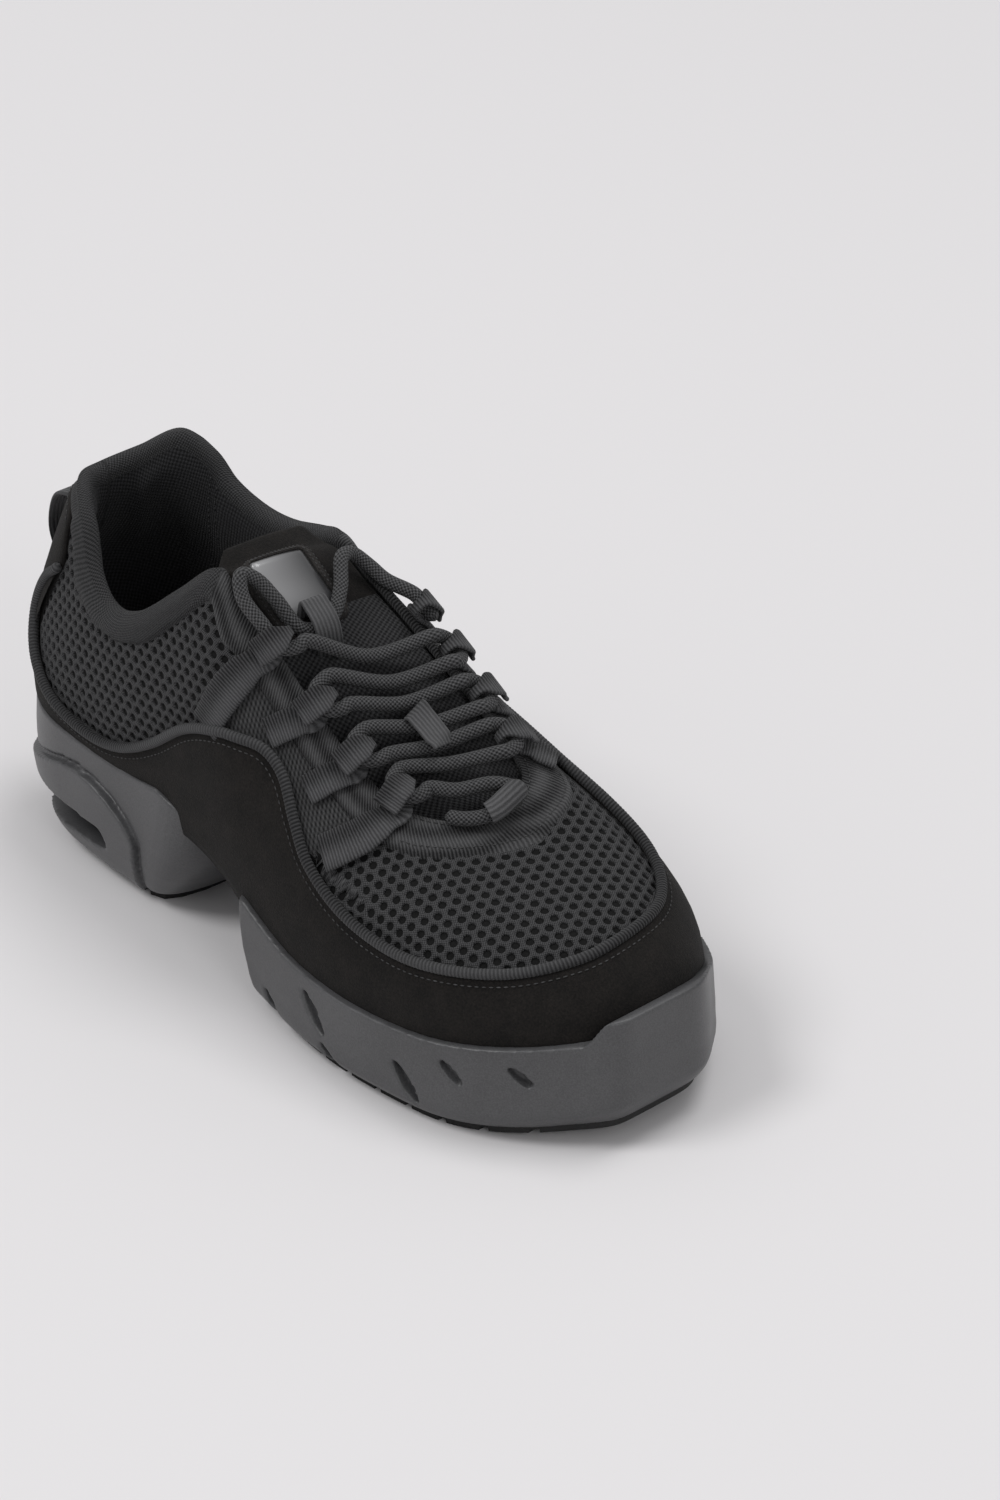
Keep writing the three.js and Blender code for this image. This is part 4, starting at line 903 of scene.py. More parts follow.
def paint_plate_highlight_and_shade():
    """Painted light on the plate: its colour goes from a pale painted highlight at the outer side to dark
    painted shade at the inner side.
    """
    tree = plate_look.node_tree
    place = add_node(tree, "ShaderNodeTexCoord").outputs["Object"]
    across = add_node(tree, "ShaderNodeSeparateXYZ", {0: place}).outputs[1]
    start, end = PLATE_PAINTED_LIGHT_SPAN
    share = add_node(tree, "ShaderNodeMapRange", {0: across, 1: start, 2: end, 3: 0.0, 4: 1.0}).outputs[0]
    colour_between(tree, tree.nodes["Principled BSDF"], share, PLATE_PAINTED_HIGHLIGHT, PLATE_PAINTED_SHADE, (0.0, 1.0))


paint_plate_highlight_and_shade()

# Where the upper changes its cloth: mesh behind the first strap and before the last, textile between them


STRAP_TOP = 0.93
CLOTH_EDGE = 0.006


def strap_line(number, up):
    """Where a side strap's middle lies round the shoe, at a height on the ribs."""
    _, root, low, eye = STRAP_ROWS[number]
    return root + (eye - root) * (up - low) / (STRAP_TOP - low)


def textile_share(around, up):
    """1 between the first and last strap of a side, 0 over the mesh panels."""
    turned = np.mod(around, 2)

    def past(number):
        line = strap_line(number, up)
        return ramp(turned, line - CLOTH_EDGE, line + CLOTH_EDGE)

    return np.maximum(past(0) * (1 - past(3)), past(7) * (1 - past(4)))


MESH_DEPTH = 0.9
CREASE_HEIGHT = 0.16

# Hollows of the worn cloth: around, up, spread round the shoe, depth in millimetres

CREASES = [
    (0.72, 0.62, 0.10, 0.35),
    (0.84, 0.70, 0.12, 0.30),
    (1.18, 0.66, 0.10, 0.30),
    (0.30, 0.55, 0.12, 0.40),
    (1.70, 0.58, 0.12, 0.40),
]


def soft_waves(around, up):
    """The lift of the hollows at any place of the surface."""
    wave = 0 * (around + up)
    for place, level, spread, depth in CREASES:
        away = ((around - place) / spread) ** 2 + ((up - level) / CREASE_HEIGHT) ** 2
        wave = wave - depth * np.exp(-away)
    return wave


UPPER_STATIONS = 420
RIM_ROW = 41
RUN_ROW = 36
RIM_SWELL = 0.3
COLLAR_PUFF = 1.1
HEEL_FOLD = 1.6
FOLD_PLACE = 0.075
FOLD_SPREAD = 0.028


def make_upper():
    """One hollow skin: cloth outside, a band over the padded rim, lining inside and a flange below."""
    around = np.linspace(0, 2, UPPER_STATIONS, endpoint=False)
    start, step = band_at(around)
    depth_top = wall_depth(around, 1)
    ups, lifts, regions = [], [], []

    def add(up, lift, region):
        ups.append(up + 0 * around)
        lifts.append(lift + 0 * around)
        regions.append(region)

    for share in np.linspace(0, 1, 26):
        up = share * (start - 0.012)
        sunk = MESH_DEPTH * (1 - textile_share(around, up)) * ramp(share, 0.12, 0.2)
        add(up, -sunk, "body")
    for share in (0.0, 0.35, 0.75, 1.0):
        lift = step * ramp(share, 0, 1) - MESH_DEPTH * 0.5 * (1 - share)
        add(start - 0.010 + 0.022 * share, lift, "band")
    for share in np.linspace(0.12, 1, 9):
        puff = COLLAR_PUFF * np.sin(np.pi * share) * (1 - throat_share(around))
        add(mix(start + 0.012, 0.985, share), step * mix(1, 0.85, share) + puff, "band")
    for up, level in ((0.994, 0.62), (1.0, 0.25)):
        add(up, step * level, "band")
    for up, level in ((1.0, 0.55), (0.997, 0.85), (0.985, 1.0)):
        add(up, -depth_top * level, "band")
    for up in np.linspace(0.965, 0.07, 26):
        fold_here = np.exp(-(((fold(around) - FOLD_PLACE) / FOLD_SPREAD) ** 2))
        ridge = HEEL_FOLD * fold_here * ramp(up, 0.45, 0.6) * (1 - ramp(up, 0.88, 0.96))
        add(up, -wall_depth(around, up) - ridge, "inside")
    ups, lifts = np.array(ups).T, np.array(lifts).T
    grid = around[:, None] + 0 * ups
    points = surface(grid, ups, lifts + soft_waves(grid, ups) * (ups < 0.9))
    from_rim = (np.arange(ups.shape[1]) - RIM_ROW) / 1.6
    points[..., 2] += RIM_SWELL * depth_top[:, None] * np.exp(-(from_rim**2))
    flange = [(-UPPER_WALL, UPPER_WALL), (-FLANGE, UPPER_WALL), (-FLANGE, 0)]
    edges = [seat_point(around, out, height)[:, None] for out, height in flange]
    sections = np.concatenate([points] + edges, 1)
    down = np.cumsum(np.linalg.norm(np.diff(sections[:, ::-1], axis=1), axis=-1), axis=1)
    down = np.concatenate([np.zeros((len(around), 1)), down], 1)[:, ::-1]
    run = np.stack([lengths_along(sections[:, RUN_ROW])[:, None] + 0 * down, down], -1)
    flat, faces = closed_grid(sections, True)
    columns = sections.shape[1]
    station = (faces // columns)[:, 0]
    level = np.sort(faces % columns, 1)[:, 0]
    throat = throat_share(around[station]) > 0.5
    kind = np.array(regions + ["inside"] * len(flange))[level]
    textile = textile_share(around[station], ups[station, np.minimum(level, ups.shape[1] - 1)]) > 0.5
    places = [(kind == "body") & textile, (kind == "band") & ~throat, kind == "band", kind == "inside"]
    looks = [backing_look, textile_look, knit_look, tape_look, lining_look]
    piece = make_piece("upper_shell", flat, faces, looks, np.select(places, [1, 2, 3, 4], 0), run)
    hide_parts("upper")


make_upper()

# Spacer mesh: flat cloth is laid out from the surface, holes are set in rows, and it is laid back

SETTLE_STEPS = 1600
SETTLE_PUSH = 1.6


def flatten(places):
    """Flat positions for a grid of places on a surface, so that its edges keep their lengths."""
    middle = places.reshape(-1, 3).mean(0)
    _, _, axes = np.linalg.svd((places - middle).reshape(-1, 3), full_matrices=False)
    flat = (places - middle) @ axes[:2].T
    rows, columns = places.shape[:2]
    index = np.arange(rows * columns).reshape(rows, columns)
    pairs = [
        (index[:-1], index[1:]),
        (index[:, :-1], index[:, 1:]),
        (index[:-1, :-1], index[1:, 1:]),
        (index[1:, :-1], index[:-1, 1:]),
    ]
    a = np.concatenate([p[0].ravel() for p in pairs])
    b = np.concatenate([p[1].ravel() for p in pairs])
    solid = places.reshape(-1, 3)
    wanted = np.linalg.norm(solid[a] - solid[b], axis=-1)
    flat = flat.reshape(-1, 2)
    count = np.bincount(np.concatenate([a, b]), minlength=len(flat))[:, None]
    for _ in range(SETTLE_STEPS):
        apart = flat[b] - flat[a]
        length = np.maximum(np.linalg.norm(apart, axis=-1), 1e-6)
        pull = apart * ((length - wanted) / length / 2)[:, None]
        move = np.zeros_like(flat)
        np.add.at(move, a, pull)
        np.add.at(move, b, -pull)
        flat = flat + SETTLE_PUSH * move / count
    return flat.reshape(rows, columns, 2)


class Layout:
    """The way back from flat cloth to the surface: a flat place gives around and up."""

    def __init__(self, around, up):
        quads = grid_faces(*around.shape)
        self.triangles = np.vstack([quads[:, [0, 1, 2]], quads[:, [0, 2, 3]]])
        self.corner = flatten(surface(around, up, np.zeros_like(up))).reshape(-1, 2)
        self.value = np.stack([around, up], -1).reshape(-1, 2)
        solid = [(x, y, 0.0) for x, y in self.corner]
        self.tree = BVHTree.FromPolygons(solid, self.triangles.tolist())

    def read(self, places):
        """Around, up and whether the place is on the cloth."""
        found = [self.tree.find_nearest((x, y, 0.0)) for x, y in places]
        triangle = self.triangles[[hit[2] for hit in found]]
        inside = np.array([hit[3] < 0.02 for hit in found])
        a, b, c = (self.corner[triangle[:, k]] for k in range(3))
        ab, ac, ap = b - a, c - a, places - a
        area = ab[:, 0] * ac[:, 1] - ab[:, 1] * ac[:, 0]
        second = (ap[:, 0] * ac[:, 1] - ap[:, 1] * ac[:, 0]) / area
        third = (ab[:, 0] * ap[:, 1] - ab[:, 1] * ap[:, 0]) / area
        first = 1 - second - third
        shares = zip(range(3), (first, second, third))
        return sum(self.value[triangle[:, k]] * share[:, None] for k, share in shares), inside


loop = PIPING_ROWS + HEEL_ROWS
loop_count = len(loop)


def loop_row(index):
    """A row of the line that runs round the whole shoe: index, root, around and up."""
    root, around, up = loop[index % loop_count]
    turn = 2 * (index // loop_count)
    return (index, root + turn, around + turn, up)


line_at = smooth_table([loop_row(index) for index in range(-1, loop_count + 2)])
piping_index = np.linspace(0, len(PIPING_ROWS) - 1, 1400)
piping_body = piping_index[(piping_index > 3) & (piping_index < len(PIPING_ROWS) - 4)]


def above_piping(around, up):
    """How far up a rib a place is above the piping's line; the line's own folds at the heel are left out."""
    _, line_around, line_up = line_at(piping_body)
    order = np.argsort(line_around)
    return up - np.interp(np.mod(around, 2), line_around[order], line_up[order])


HOLE_PITCH = 4.1
HOLE_ROWS = 0.78 * HOLE_PITCH
HOLE_SIZE = 0.62
HOLE_TALL = 0.62
PANEL_REACH = 0.03
PANEL_TUCK = 0.02
STRAP_TUCK = 0.012
SAME_PLACE = 0.02

# Half width and height of a cell's outline against its pitch and row height, every 30 degrees

CELL_ROWS = [
    (0.5, 0.0),
    (0.5, 0.333),
    (0.25, 0.5),
    (0.0, 0.667),
    (-0.25, 0.5),
    (-0.5, 0.333),
    (-0.5, 0.0),
    (-0.5, -0.333),
    (-0.25, -0.5),
    (0.0, -0.667),
    (0.25, -0.5),
    (0.5, -0.333),
]


def make_mesh_panel(name, around_range, low_up, keep):
    """A panel of hexagon cells, each with a round hole whose wall goes down to the backing."""
    around = np.linspace(*around_range, 64)[:, None] + np.zeros(22)
    top = band_at(around[:, 0])[0][:, None] + PANEL_TUCK
    layout = Layout(around, low_up + (top - low_up) * np.linspace(0, 1, 22))
    low, high = layout.corner.min(0), layout.corner.max(0)
    number = int(np.linalg.norm(high - low) / 2 / HOLE_ROWS) + 2
    count = np.arange(-number, number + 1)
    j, i = np.meshgrid(count, count, indexing="ij")
    spots = np.stack([(i + 0.5 * (j % 2)) * HOLE_PITCH, j * HOLE_ROWS], -1).reshape(-1, 2) + (low + high) / 2
    spots = spots[((spots > low - 1) & (spots < high + 1)).all(1)]
    place, inside = layout.read(spots)
    spots = spots[inside & keep(place[:, 0], place[:, 1])]
    sides = len(CELL_ROWS)
    angles = np.arange(sides) * math.tau / sides
    cell = np.array(CELL_ROWS) * [HOLE_PITCH, HOLE_ROWS]
    hole = np.stack([np.cos(angles) * HOLE_PITCH / 2, np.sin(angles) * HOLE_ROWS * HOLE_TALL], -1) * HOLE_SIZE
    rings = [(cell, -0.02), (mix(cell, hole, 0.62), -0.10), (hole, -0.42), (hole * 0.97, -MESH_DEPTH - 0.05)]
    flat = np.stack([spots[:, None] + ring[None] for ring, _ in rings], 1)
    (values, _), depths = layout.read(flat.reshape(-1, 2)), np.array([depth for _, depth in rings])
    lift = np.broadcast_to(depths[None, :, None], flat.shape[:3]).reshape(-1)
    points = surface(values[:, 0], values[:, 1], lift + soft_waves(values[:, 0], values[:, 1]))
    first = np.arange(len(spots))[:, None] * (len(rings) * sides)
    faces = []
    for level in range(len(rings) - 1):
        here = first + level * sides + np.arange(sides)
        after = first + level * sides + (np.arange(sides) + 1) % sides
        faces.append(np.stack([here, after, after + sides, here + sides], -1).reshape(-1, 4))
    faces = np.vstack(faces)
    edge = points[faces[0]]
    middle = edge.mean(0)
    if np.cross(edge[1] - edge[0], edge[2] - edge[0]) @ (middle - [middle[0], 10.0, 40.0]) < 0:
        faces = faces[:, ::-1]
    piece = make_piece(name, points, faces, [mesh_look], run=flat.reshape(-1, 2))
    work = merge_doubles(piece.data, SAME_PLACE * MM)
    work.to_mesh(piece.data)
    work.free()
    piece.data.update()


def merge_doubles(mesh, distance):
    """Points of a mesh closer than a distance in metres become one; the open mesh is given back."""
    work = bmesh.new()
    work.from_mesh(mesh)
    bmesh.ops.remove_doubles(work, verts=work.verts, dist=distance)
    return work


def keep_outer(around, up):
    return (above_piping(around, up) > -PANEL_REACH) & (around < strap_line(0, up) + STRAP_TUCK)


def keep_inner(around, up):
    return (above_piping(around, up) > -PANEL_REACH) & (around > strap_line(4, up) - STRAP_TUCK)


def keep_vamp(around, up):
    between = (around > strap_line(3, up) - STRAP_TUCK) & (around < strap_line(7, up) + STRAP_TUCK)
    return (above_piping(around, up) > -PANEL_REACH) & between


make_mesh_panel("mesh_outer", (0.085, 0.54), 0.20, keep_outer)
make_mesh_panel("mesh_inner", (1.44, 1.915), 0.20, keep_inner)
make_mesh_panel("mesh_vamp", (0.60, 1.34), 0.30, keep_vamp)

# Suede over the heel, the arch and round the vamp, with its edge under the piping


SUEDE_ACROSS = np.array([-0.02, 0.06, 0.14, 0.24, 0.36, 0.48, 0.60, 0.72, 0.82, 0.90, 0.95, 0.985, 1.0])
SUEDE_TOP = np.array([1.0] * 10 + [0.97, 0.80, 0.45]) * SUEDE_OUT
SUEDE_LOW = 0.05
SUEDE_FOOT = 0.002
SUEDE_WAVE = 0.35


def make_suede():
    """One closed band round the shoe: its top from the feather line to the piping, and back below."""
    root, around, up = line_at(np.linspace(0, loop_count, 620, endpoint=False))
    columns = []
    low = np.full(len(SUEDE_ACROSS), SUEDE_LOW)
    for share, lift in list(zip(SUEDE_ACROSS, SUEDE_TOP)) + list(zip(SUEDE_ACROSS[::-1], low)):
        here_around, here_up = mix(root, around, share), SUEDE_FOOT + (up - SUEDE_FOOT) * share
        wave = SUEDE_WAVE * soft_waves(here_around, here_up) * (lift > 0.1)
        columns.append(surface(here_around, here_up, lift + wave))
    points, faces = closed_grid(np.stack(columns, 1), True)
    piece = make_piece("suede_cover", points, faces, [suede_look])
    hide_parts("suede_overlay")


make_suede()


# Tubes and strips with their own run


def tube(centres, radius, sides, normals=None):
    """Sections of a round cord along centres, and the run of each point."""
    tangent = unit(np.gradient(centres, axis=0))
    if normals is None:
        normals = [np.array([0.0, 0.0, 1.0])]
        for direction in tangent:
            last = normals[-1]
            level = last - direction * (last @ direction)
            normals.append(level / np.linalg.norm(level))
        normals = np.array(normals[1:])
    side = unit(np.cross(tangent, normals))
    lifted = np.cross(side, tangent)
    angle = np.arange(sides) * math.tau / sides
    around = side[:, None] * np.cos(angle)[None, :, None] + lifted[:, None] * np.sin(angle)[None, :, None]
    sections = centres[:, None] + around * radius[:, None, None]
    width = np.minimum(angle, math.tau - angle) * radius.mean()
    return sections, run_of(lengths_along(centres), width)


# A tape's section from one edge round to the other: shares of its half width and half thickness

TAPE_EDGE = [(0.45, 1), (0.86, 1), (0.96, 0.75), (1, 0), (0.96, -0.75), (0.86, -1), (0.45, -1), (0, -1)]
TAPE_SECTION = np.array([(-1, 0), (-0.96, 0.75), (-0.86, 1), (-0.45, 1), (0, 1)] + TAPE_EDGE
                        + [(-0.45, -1), (-0.86, -1), (-0.96, -0.75)])
TAPE_STEP = 0.55


def strip_sections(centres, sides, widths, thickness):
    """A soft flat tape along centres: rounded edges, a run in millimetres."""
    tangent = unit(np.gradient(centres, axis=0))
    side = unit(sides - tangent * np.sum(sides * tangent, -1, keepdims=True))
    face = np.cross(tangent, side)
    across = TAPE_SECTION[:, 0] * widths[:, None] / 2
    sections = centres[:, None] + side[:, None] * across[..., None]
    sections = sections + face[:, None] * (TAPE_SECTION[:, 1] * thickness / 2)[None, :, None]
    return sections, np.stack([lengths_along(centres)[:, None] + 0 * across, across], -1)


def add_caps(run):
    """The run of a capped piece: its two end middles are added."""
    ends = np.array([run[0].mean(0), run[-1].mean(0)])
    return np.vstack([run.reshape(-1, 2), ends])


def make_strip(name, node, stations, look):
    """A tape through stations of place, side and width, in place of a node."""
    places, sides, widths = (spline([np.atleast_1d(s[k]) for s in stations], 10) for k in range(3))
    count = max(12, int(lengths_along(places)[-1] / TAPE_STEP))
    even = resample(np.hstack([places, unit(sides), widths]), count)
    sections, run = strip_sections(even[:, :3], even[:, 3:6], even[:, 6], WEBBING)
    points, faces = capped(sections)
    piece = make_piece(name, points, faces, [look], run=add_caps(run))
    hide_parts(node)


PIPING_STEP = 0.28
PIPING_RIB = 0.07


def make_piping():
    """A ribbed cord over the suede's edge, with four steps to a rib and rounded ends."""
    _, around, up = line_at(np.linspace(0, len(PIPING_ROWS) - 1, 6000))
    centres = surface(around, up, np.full(len(around), GAP + PIPING_RADIUS))
    count = int(lengths_along(centres)[-1] / PIPING_STEP)
    even = resample(np.hstack([centres, normal_at(around, up)]), count)
    ribs = 0.5 + 0.5 * np.cos(np.arange(count) * math.tau / 4)
    ends = np.minimum(np.arange(count), np.arange(count)[::-1]) / 5
    radius = PIPING_RADIUS * (0.97 - PIPING_RIB * ribs) * np.sqrt(np.clip(ends, 0.15, 1))
    sections, run = tube(even[:, :3], radius, 12, unit(even[:, 3:]))
    points, faces = capped(sections)
    piece = make_piece("piping_cord", points, faces, [piping_look], run=add_caps(run))
    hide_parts("piping")


make_piping()

# Side straps with the eyes that hold the lace

EYE_LIFT = THROAT_STEP + STRAP_LIFT + WEBBING + GAP + LACE_RADIUS
EYE_RADIUS = LACE_RADIUS + GAP + WEBBING / 2

# Path of a strap round the lace: across, above, width, in eye radii and strap widths

EYE_PATH = [
    (0.0, -1.00, 1.00),
    (1.0, -0.97, 0.60),
    (1.55, -0.60, 0.36),
    (1.75, 0.00, 0.36),
    (1.55, 0.60, 0.36),
    (1.0, 0.97, 0.60),
    (0.0, 1.00, 1.00),
    (-0.8, 0.76, 1.00),
    (-1.35, 0.12, 1.00),
    (-2.1, -0.36, 0.96),
]


def eye_frame(around):
    """The lace's place at an eye, with the directions to the toe, over the tongue and out of the upper."""
    along = rib_point(around + STEP, 1) - rib_point(around - STEP, 1)
    normal = normal_at(around, 1.0)
    toeward = unit(along) * np.sign(along[0])
    inward = np.cross(toeward, normal)
    if inward[1] * rib_point(around, 1)[1] > 0:
        inward = -inward
    return rib_point(around, 1) + normal * EYE_LIFT, toeward, inward, normal


STRAP_ALONG = (0, 0.22, 0.44, 0.66, 0.84, 1)
WIDE_ROOT = 1.35
PLAIN_ROOT = 1.08


def strap_stations(root, low, eye, spread):
    """Stations of a strap from its root up to the band, round the lace and back."""
    centre, toeward, inward, normal = eye_frame(eye)

    def place_at(share):
        return mix(root, eye, share), mix(low, STRAP_TOP, share)

    stations = []
    for share in STRAP_ALONG:
        around, up = place_at(share)
        place = surface(around, up, STRAP_LIFT + WEBBING / 2 + outer_lift(around, up))
        ahead, back = rib_point(*place_at(share + 0.02)), rib_point(*place_at(share - 0.02))
        side = unit(np.cross(ahead - back, normal_at(around, up)))
        width = STRAP_WIDTH * mix(spread, 1, ramp(share, 0.55, 0.84))
        stations.append((place, side * np.sign(side @ toeward), width))
    for across, above, width in EYE_PATH:
        place = centre + inward * across * EYE_RADIUS + normal * above * EYE_RADIUS
        stations.append((place, toeward, width * STRAP_WIDTH))
    return stations


for node, root, low, eye in STRAP_ROWS:
    spread = WIDE_ROOT if node[-1] in "14" else PLAIN_ROOT
    make_strip(node + "_webbing", node, strap_stations(root, low, eye, spread), webbing_look)

# Lace


def rim_place(x, near, far):
    for _ in range(30):
        middle = (near + far) / 2
        if rib_point(middle, 1)[0] < x:
            near = middle
        else:
            far = middle
    return rib_point((near + far) / 2, 1)


def throat_height(x, y):
    outer = rim_place(x, 0.42, 1)
    inner = rim_place(x, 1.58, 1.12)
    share = min(1, max(0, (y - outer[1]) / (inner[1] - outer[1])))
    return mix(outer[2], inner[2], share) + TONGUE_CROWN * 4 * share * (1 - share)


def turn_places(eye, places):
    centre, toeward, inward, _ = eye_frame(eye)
    return [centre + inward * across + toeward * along for across, along in places]


def listed(rows):
    out = []
    for along, across, lift in rows:
        x, y = foot_x(along), across * BALL_WIDTH
        out.append(np.array([x, y, throat_height(x, y) + lift * LACE_RADIUS]))
    return out


def lace_places():
    eyes = {row[0]: row[3] for row in STRAP_ROWS}
    leg, near, far = 1.5 * LACE_TURN, 0.29 * LACE_TURN, 0.71 * LACE_TURN
    turn = [(leg, -LACE_TURN), (LACE_TURN, -LACE_TURN), (near, -far), (0, 0)]
    turn += [(near, far), (LACE_TURN, LACE_TURN), (leg, LACE_TURN)]
    places = turn_places(eyes["strap_inner_1"], [(0, LACE_TURN), (0, 0), (0, -LACE_TURN)])
    places += listed(LACE_TOP_ROWS)
    places += turn_places(eyes["strap_outer_1"], [(0, -LACE_TURN)] + turn[3:])
    for name in ("inner_2", "outer_2", "inner_3", "outer_3", "inner_4", "outer_4"):
        round_eye = turn_places(eyes["strap_" + name], turn)
        middle = (places[-1] + round_eye[0]) / 2
        middle[2] = throat_height(middle[0], middle[1]) + 1.2 * LACE_RADIUS
        places += [middle] + round_eye
    return places + listed(LACE_TOE_ROWS)


def make_lace():
    line = spline(lace_places(), 24)
    count = int(lengths_along(line)[-1] / 0.5)
    centres = resample(line, count)
    ends = np.minimum(np.arange(count), np.arange(count)[::-1]) / 3
    radius = LACE_RADIUS * np.sqrt(np.clip(ends, 0.1, 1))
    sections, run = tube(centres, radius, 14)
    points, faces = capped(sections)
    piece = make_piece("lace_cord", points, faces, [lace_look], run=add_caps(run))
    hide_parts("lace")


make_lace()

# Tapes over the lace on the tongue, the channel at the toe end and the pull tab

LOOP_HIGH = 1.2 * LACE_RADIUS + 1.5 * (LACE_RADIUS + GAP + WEBBING / 2)
DIP_BOW = [(0, 0.86), (0.1, 0.95), (0.3, 1), (0.7, 1), (0.9, 0.96), (1, 0.86)]
FOOT_BOW = [(0, -0.06), (0.04, 0.4), (0.15, 0.93), (0.33, 1), (0.72, 1), (0.87, 0.8), (0.97, 0.3), (1, -0.06)]


def loop_stations(start, end, across, slant, tilt, bow):
    stations = []
    for share, height in bow:
        x = mix(foot_x(start), foot_x(end), share)
        place = np.array([x, across, throat_height(x, across) + height * LOOP_HIGH])
        stations.append((place, np.array([slant, 1.0, tilt]), STRAP_WIDTH))
    return stations


keeper = loop_stations(0.5894, 0.6377, 0.02 * BALL_WIDTH, -0.88, 0.5, DIP_BOW)
top_loop = loop_stations(0.449, 0.485, -0.06 * BALL_WIDTH, 0.1, 0, FOOT_BOW)
make_strip("keeper_tape", "tongue_keeper", keeper, tape_loop_look)
make_strip("loop_tape", "tongue_loop", top_loop, tape_loop_look)

TAB_ROWS = [(0.82, 0), (0.80, 0.4), (0.75, 0.9), (0.67, 1), (0.58, 0.8), (0.52, 0.3), (0.50, 0)]
TAB_REACH = 8.5
tab_stations = []
for up, out in TAB_ROWS:
    lift = SUEDE_OUT + GAP + WEBBING / 2 + out * TAB_REACH
    tab_stations.append((surface(0.0, up, lift), np.array([0.0, 1.0, 0.0]), 12.0))
make_strip("pull_tab_tape", "pull_tab", tab_stations, tape_loop_look)


def make_channel():
    places = lace_places()
    first = len(places) - len(LACE_TOE_ROWS)
    line = spline(places[first + 2 : first + 6], 20)
    line = line[int(len(line) * 0.16) : int(len(line) * 0.68)]
    bore = LACE_RADIUS + 2 * GAP
    angle = np.radians(np.linspace(5, 175, 14))
    tangent = unit(np.gradient(line, axis=0))
    upward = unit(np.array([0.4, 0.0, 1.0]))
    side = unit(np.cross(tangent, upward))
    lifted = np.cross(side, tangent)
    rings = []
    for radius, turn in ((bore + 0.8, 1), (bore, -1)):
        arc = angle[::turn]
        outward = side[:, None] * np.cos(arc)[None, :, None] + lifted[:, None] * np.sin(arc)[None, :, None]
        rings.append(line[:, None] + radius * outward)
    sections = np.concatenate(rings, 1)
    run = run_of(lengths_along(line), np.concatenate([angle, angle[::-1]]) * bore)
    points, faces = capped(sections)
    piece = make_piece("toe_channel", points, faces, [tape_loop_look], run=add_caps(run))
    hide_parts("toe_loop")


make_channel()

# Padded tongue: suede over its top, mesh cloth below

DOWN = np.array([-0.5, 0.0, -0.86])


def under_wall(around, up):
    return surface(around, up, -(wall_depth(around, up) + TONGUE_GAP))


def tongue_place(share, across):
    outer = under_wall(mix(0.415, 0.90, share), np.float64(1.0))
    inner = under_wall(2 - mix(0.415, 0.81, share), np.float64(1.0))
    crown = TONGUE_CROWN * (1 - ramp(share, 0.7, 1.1))
    return mix(outer, inner, across) - DOWN * crown * 4 * across * (1 - across)


def tongue_section(share, count=31):
    outer, inner = mix(0.415, 0.90, share), 2 - mix(0.415, 0.81, share)
    across = np.linspace(0, 1, count)
    middle = np.array([tongue_place(share, value) for value in across])
    tucks = [under_wall(a, up_below_rim(np.float64(a), 9.0)) for a in (outer, inner)]
    top = np.vstack([tucks[:1], middle, tucks[1:]])
    puff = np.sin(np.pi * np.clip((across - 0.03) / 0.94, 0, 1)) ** 0.5
    depth = np.concatenate([[0.28], 0.32 + 0.68 * puff, [0.28]]) * TONGUE
    low = top + DOWN * depth[:, None]
    for i, around in ((0, outer), (1, outer), (count, inner), (count + 1, inner)):
        low[i] = top[i] - normal_at(around, np.float64(0.999)) * depth[i]
    return np.vstack([top, low[::-1]])


# The tongue's padded top: rise in millimetres, size and thickness as shares of its first section

TONGUE_TOP = [
    (9.0, 0.72, 0.35),
    (8.8, 0.76, 0.70),
    (8.0, 0.80, 0.95),
    (6.5, 0.83, 1.00),
    (4.5, 0.87, 1.00),
    (2.2, 0.94, 1.00),
]


def make_tongue():
    shares = np.linspace(0, 1, 60)
    body = [tongue_section(share) for share in shares]
    first = body[0]
    centre = first.mean(0)
    level = tongue_place(0, 0.5)[2]
    tops = []
    for rise, size, thick in TONGUE_TOP:
        section = first.copy()
        section[:, 0] = mix(centre[0], first[:, 0], size) - 0.75 * rise
        section[:, 1] = mix(centre[1], first[:, 1], size)
        section[:, 2] = mix(first[:, 2], mix(level, first[:, 2], 0.6), rise / 9.0) + 0.35 * rise
        half = len(section) // 2
        upper, lower = section[:half], section[half:][::-1]
        middle = (upper + lower) / 2
        section = np.vstack([mix(middle, upper, thick), mix(middle, lower, thick)[::-1]])
        tops.append(section)
    feet = []
    count = len(first) // 2
    stations = np.linspace(0.93, 1.16, count)
    for distance in (0.0, 9.0):
        top = under_wall(stations, up_below_rim(stations, distance))
        low = top - normal_at(stations, np.full(count, 0.999)) * 0.3 * TONGUE
        feet.append(np.vstack([top, low[::-1]]))
    sections = np.array(tops + body + feet)
    along = np.linalg.norm(np.diff(sections[:, count // 2], axis=0), axis=-1)
    along = np.concatenate([[0], np.cumsum(along)])
    across = np.cumsum(np.linalg.norm(np.diff(sections[30, :count], axis=0), axis=-1))
    across = np.concatenate([[0], across])
    across = np.concatenate([across, across[::-1]])
    run = np.stack([along[:, None] + 0 * across[None], across[None] + 0 * along[:, None]], -1)
    points, faces = capped(sections)
    station = np.array([min(face) // (2 * count) for face in faces])
    face_material = np.where(along[np.minimum(station, len(along) - 1)] < 31, 0, 1)
    piece = make_piece("tongue_pad", points, faces, [suede_look, tongue_look], face_material, add_caps(run))
    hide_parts("tongue")
    return piece


make_tongue()


BADGE_ACROSS = (0.16, 0.64)
BADGE_ALONG = (0.028, 0.182)


